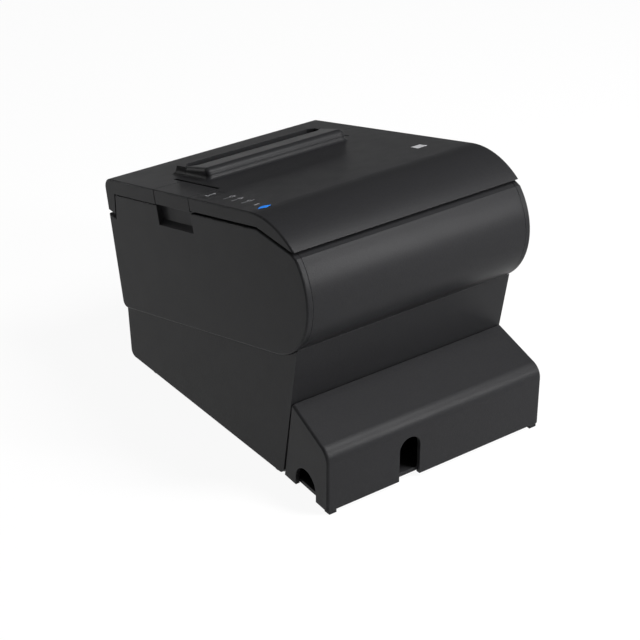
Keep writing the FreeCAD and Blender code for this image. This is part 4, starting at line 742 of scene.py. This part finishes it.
@dataclass
class SocketFittings:
    """Contacts and tongue inside the sockets, measured back from the sockets' fronts."""

    shop: Workshop
    front_y: float = -69.5
    board_top: float = 16.6
    inlet: Point = (-42.0, 7.0)
    port: Point = (9.0, 5.5)
    rows: tuple[ContactRow, ...] = (
        ContactRow("drawer_contacts", -16.0, 6.25, 6, 1.27, 3.8),
        ContactRow("network_contacts", 37.0, 6.75, 8, 1.02, 4.3),
    )
    pin_places: tuple[Point, ...] = ((-2.6, -1.4), (2.6, -1.4), (0.0, 2.2))
    pin_profile: tuple[Point, ...] = ((10.5, 0.9), (3.2, 0.9), (2.75, 0.72), (2.5, 0.3))
    pin_sides: int = 24
    wire_radius: float = 0.22
    wire_sides: int = 8
    wire_path: tuple[Triple, ...] = (
        (2.0, 1.0, -0.4), (3.2, 1.0, -0.9), (9.5, -0.30, 0.0), (12.2, -0.55, 0.0),
    )
    tongue_front: float = 1.4
    tongue_rear: float = 9.3
    tongue_half_width: float = 2.8
    tongue_half_height: float = 1.5
    tongue_soft: float = 0.45
    strip_front: float = 2.4
    strip_sides: Point = (-1.25, 1.25)
    strip_half_width: float = 0.5
    strip_levels: Point = (1.42, 1.62)
    strip_soft: float = 0.06

    def build(self) -> None:
        """Fits every socket."""
        self.inlet_pins()
        for row in self.rows:
            self.spring_contacts(row)
        self.tongue()

    @staticmethod
    def beam(mesh: bmesh.types.BMesh, low: Triple, high: Triple, soft: float) -> None:
        """Adds a bar with softened edges.

        Args:
            mesh: what it is added to.
            low: its lowest corner in millimetres.
            high: its highest corner.
            soft: how far its edges are cut back.
        """
        made = bmesh.ops.create_cube(mesh, size=1.0)["verts"]
        middle = (Vector(low) + Vector(high)) / 2 * MM
        size = (Vector(high) - Vector(low)) * MM
        bmesh.ops.scale(mesh, vec=size, verts=made)
        bmesh.ops.translate(mesh, vec=middle, verts=made)
        edges = list({edge for vert in made for edge in vert.link_edges})
        bmesh.ops.bevel(
            mesh, geom=edges, offset=soft * MM, segments=2, affect="EDGES", profile=0.5
        )

    @staticmethod
    def round_rod(mesh: bmesh.types.BMesh, x: float, stations: list[Triple], sides: int) -> None:
        """Adds a round rod that runs back from the front.

        Args:
            mesh: what it is added to.
            x: its middle across the case.
            stations: depth, height and radius at each of its rings.
            sides: how many sides it has.
        """
        loft(mesh, [
            [Vector((x + a, y, z + b)) for a, b in ring((0.0, 0.0), radius, sides)]
            for y, z, radius in stations
        ])

    def inlet_pins(self) -> None:
        """Three round pins with domed tips."""
        x, z = self.inlet[0], self.board_top + self.inlet[1]
        pins = bmesh.new()
        for side, rise in self.pin_places:
            stations = [
                (self.front_y + back, z + rise, radius) for back, radius in self.pin_profile
            ]
            self.round_rod(pins, x + side, stations, self.pin_sides)
        bmesh.ops.recalc_face_normals(pins, faces=pins.faces)
        self.shop.finish_piece("inlet_pins", pins, "housing", "brass", GOLD_CONTACT)

    def spring_contacts(self, row: ContactRow) -> None:
        """Spring wires that slant into a mouth.

        Args:
            row: the row they make.
        """
        z = self.board_top + row.rise
        stations = [
            (self.front_y + back, z + row.reach * share + lift, self.wire_radius)
            for back, share, lift in self.wire_path
        ]
        wires = bmesh.new()
        for number in range(row.count):
            middle = row.x + (number - (row.count - 1) / 2) * row.pitch
            self.round_rod(wires, middle, stations, self.wire_sides)
        bmesh.ops.recalc_face_normals(wires, faces=wires.faces)
        self.shop.finish_piece(row.name, wires, "housing", "brass", GOLD_CONTACT)

    def tongue(self) -> None:
        """The square port's tongue and its four contacts."""
        x, z = self.port[0], self.board_top + self.port[1]
        front, rear = self.front_y + self.tongue_front, self.front_y + self.tongue_rear
        wide, high = self.tongue_half_width, self.tongue_half_height
        block = bmesh.new()
        self.beam(
            block, (x - wide, front, z - high), (x + wide, rear, z + high), self.tongue_soft
        )
        self.shop.finish_piece("port_tongue", block, "housing", "socket_plastic", SOCKET_PLASTIC)
        start, half = self.front_y + self.strip_front, self.strip_half_width
        near, far = self.strip_levels
        strips = bmesh.new()
        for side in self.strip_sides:
            left, right = x + side - half, x + side + half
            for low, top in ((z + near, z + far), (z - far, z - near)):
                self.beam(strips, (left, start, low), (right, rear, top), self.strip_soft)
        self.shop.finish_piece("port_contacts", strips, "housing", "brass", GOLD_CONTACT)


@dataclass(frozen=True)
class SoftBox:
    """A rectangular lamp: where it hangs, its sides, its power and the point it faces."""

    name: str
    place: Triple
    sides: Point
    power: float
    target: Triple = (0.0, 0.0, 0.07)

    def hang(self) -> None:
        """Hangs the lamp."""
        data = bpy.data.lights.new(self.name, "AREA")
        data.shape = "RECTANGLE"
        data.size, data.size_y = self.sides
        data.energy = self.power
        lamp = bpy.data.objects.new(self.name, data)
        lamp.location = self.place
        lamp.rotation_mode = "QUATERNION"
        ahead = Vector(self.target) - Vector(self.place)
        lamp.rotation_quaternion = ahead.to_track_quat("-Z", "Y")
        bpy.context.scene.collection.objects.link(lamp)


@dataclass
class Studio:
    """Floor, lamps, world and the camera of the photograph."""

    camera_mm: Triple = (-503.41, -688.02, 521.34)
    azimuth: float = 36.226
    elevation: float = 29.313
    lens: float = 98.13
    sensor: float = 36.0
    floor_size: float = 6.0
    floor_tone: float = 0.86
    floor_roughness: float = 0.9
    shadow_share: float = 0.07
    horizon: float = 0.05
    zenith: float = 0.1
    horizon_rise: float = 0.05
    zenith_rise: float = 0.75
    boxes: tuple[SoftBox, ...] = (
        SoftBox("key_box", (0.36, -0.42, 0.97), (0.16, 0.5), 14.0),
        SoftBox("low_front_box", (0.44, -0.75, 0.45), (0.16, 0.4), 7.4),
        SoftBox("front_fill_box", (-0.2, -1.3, 0.35), (0.8, 0.5), 1.6),
        SoftBox("back_low_box", (0.15, 1.1, 0.45), (0.6, 0.4), 0.3),
        SoftBox("operator_fill_box", (-0.4, 1.6, 0.08), (0.8, 0.14), 2.4),
        SoftBox("left_edge_box", (-0.75, 0.35, 0.85), (0.25, 0.25), 1.0),
    )

    def build(self) -> None:
        """Builds all of it."""
        self.place_camera()
        self.lay_floor()
        for box in self.boxes:
            box.hang()
        self.fill_world()
        bpy.context.scene.view_settings.view_transform = "Standard"

    def place_camera(self) -> None:
        """Places the camera by its fitted angles."""
        az, el = math.radians(self.azimuth), math.radians(self.elevation)
        level = math.cos(el)
        ahead = Vector((math.sin(az) * level, math.cos(az) * level, -math.sin(el)))
        right = Vector((math.cos(az), -math.sin(az), 0.0))
        up = right.cross(ahead)
        turn = Matrix((right, up, -ahead)).transposed().to_4x4()
        data = bpy.data.cameras.new("camera")
        data.lens = self.lens
        data.sensor_width = self.sensor
        camera = bpy.data.objects.new("camera", data)
        camera.matrix_world = Matrix.Translation(Vector(self.camera_mm) * MM) @ turn
        bpy.context.scene.collection.objects.link(camera)
        bpy.context.scene.camera = camera

    def lay_floor(self) -> None:
        """Lays the pale floor, white to the camera apart from the object's faint shadow."""
        half = self.floor_size / 2
        corners = [(x, y, 0.0) for x, y in bar(-half, half, -half, half)]
        mesh = bpy.data.meshes.new("floor")
        mesh.from_pydata(corners, [], [(0, 1, 2, 3)])
        floor = bpy.data.objects.new("floor", mesh)
        bpy.context.scene.collection.objects.link(floor)
        mesh.materials.append(self.floor_material())

    def floor_material(self) -> bpy.types.Material:
        """The floor's finish, which keeps a small share of its shading.

        Returns:
            The new material.
        """
        material = bpy.data.materials.new("floor")
        material.use_nodes = True
        nodes, link = material.node_tree.nodes, material.node_tree.links.new
        tone = self.floor_tone
        matt = nodes["Principled BSDF"]
        matt.inputs["Base Color"].default_value = (tone, tone, tone, 1.0)
        matt.inputs["Roughness"].default_value = self.floor_roughness
        white = nodes.new("ShaderNodeEmission")
        path = nodes.new("ShaderNodeLightPath")
        seen = path.outputs["Is Camera Ray"]
        for ray in ("Is Glossy Ray", "Is Transmission Ray"):
            either = nodes.new("ShaderNodeMath")
            either.operation = "MAXIMUM"
            link(seen, either.inputs[0])
            link(path.outputs[ray], either.inputs[1])
            seen = either.outputs[0]
        share = nodes.new("ShaderNodeMath")
        share.operation = "MULTIPLY"
        share.inputs[1].default_value = 1.0 - self.shadow_share
        mix = nodes.new("ShaderNodeMixShader")
        link(seen, share.inputs[0])
        link(share.outputs[0], mix.inputs["Fac"])
        link(matt.outputs[0], mix.inputs[1])
        link(white.outputs[0], mix.inputs[2])
        link(mix.outputs[0], nodes["Material Output"].inputs["Surface"])
        return material

    def fill_world(self) -> None:
        """Fills the room with soft light, stronger overhead than along the horizon."""
        world = bpy.data.worlds.new("room")
        bpy.context.scene.world = world
        world.use_nodes = True
        nodes, link = world.node_tree.nodes, world.node_tree.links.new
        way = nodes.new("ShaderNodeTexCoord")
        parts = nodes.new("ShaderNodeSeparateXYZ")
        level = nodes.new("ShaderNodeMapRange")
        level.inputs["From Min"].default_value = self.horizon_rise
        level.inputs["From Max"].default_value = self.zenith_rise
        level.inputs["To Min"].default_value = self.horizon
        level.inputs["To Max"].default_value = self.zenith
        link(way.outputs["Generated"], parts.inputs[0])
        link(parts.outputs["Z"], level.inputs["Value"])
        link(level.outputs["Result"], nodes["Background"].inputs["Strength"])
        nodes["Background"].inputs["Color"].default_value = (1.0, 1.0, 1.0, 1.0)


def main() -> None:
    """Builds the scene in order."""
    logging.basicConfig(level=logging.INFO, format="%(message)s")
    shop = Workshop()
    shop.dress_nodes()
    PrintedMarks(shop).build()
    SeamLip(shop).build()
    SocketFittings(shop).build()
    Studio().build()


if __name__ == "__main__":
    main()
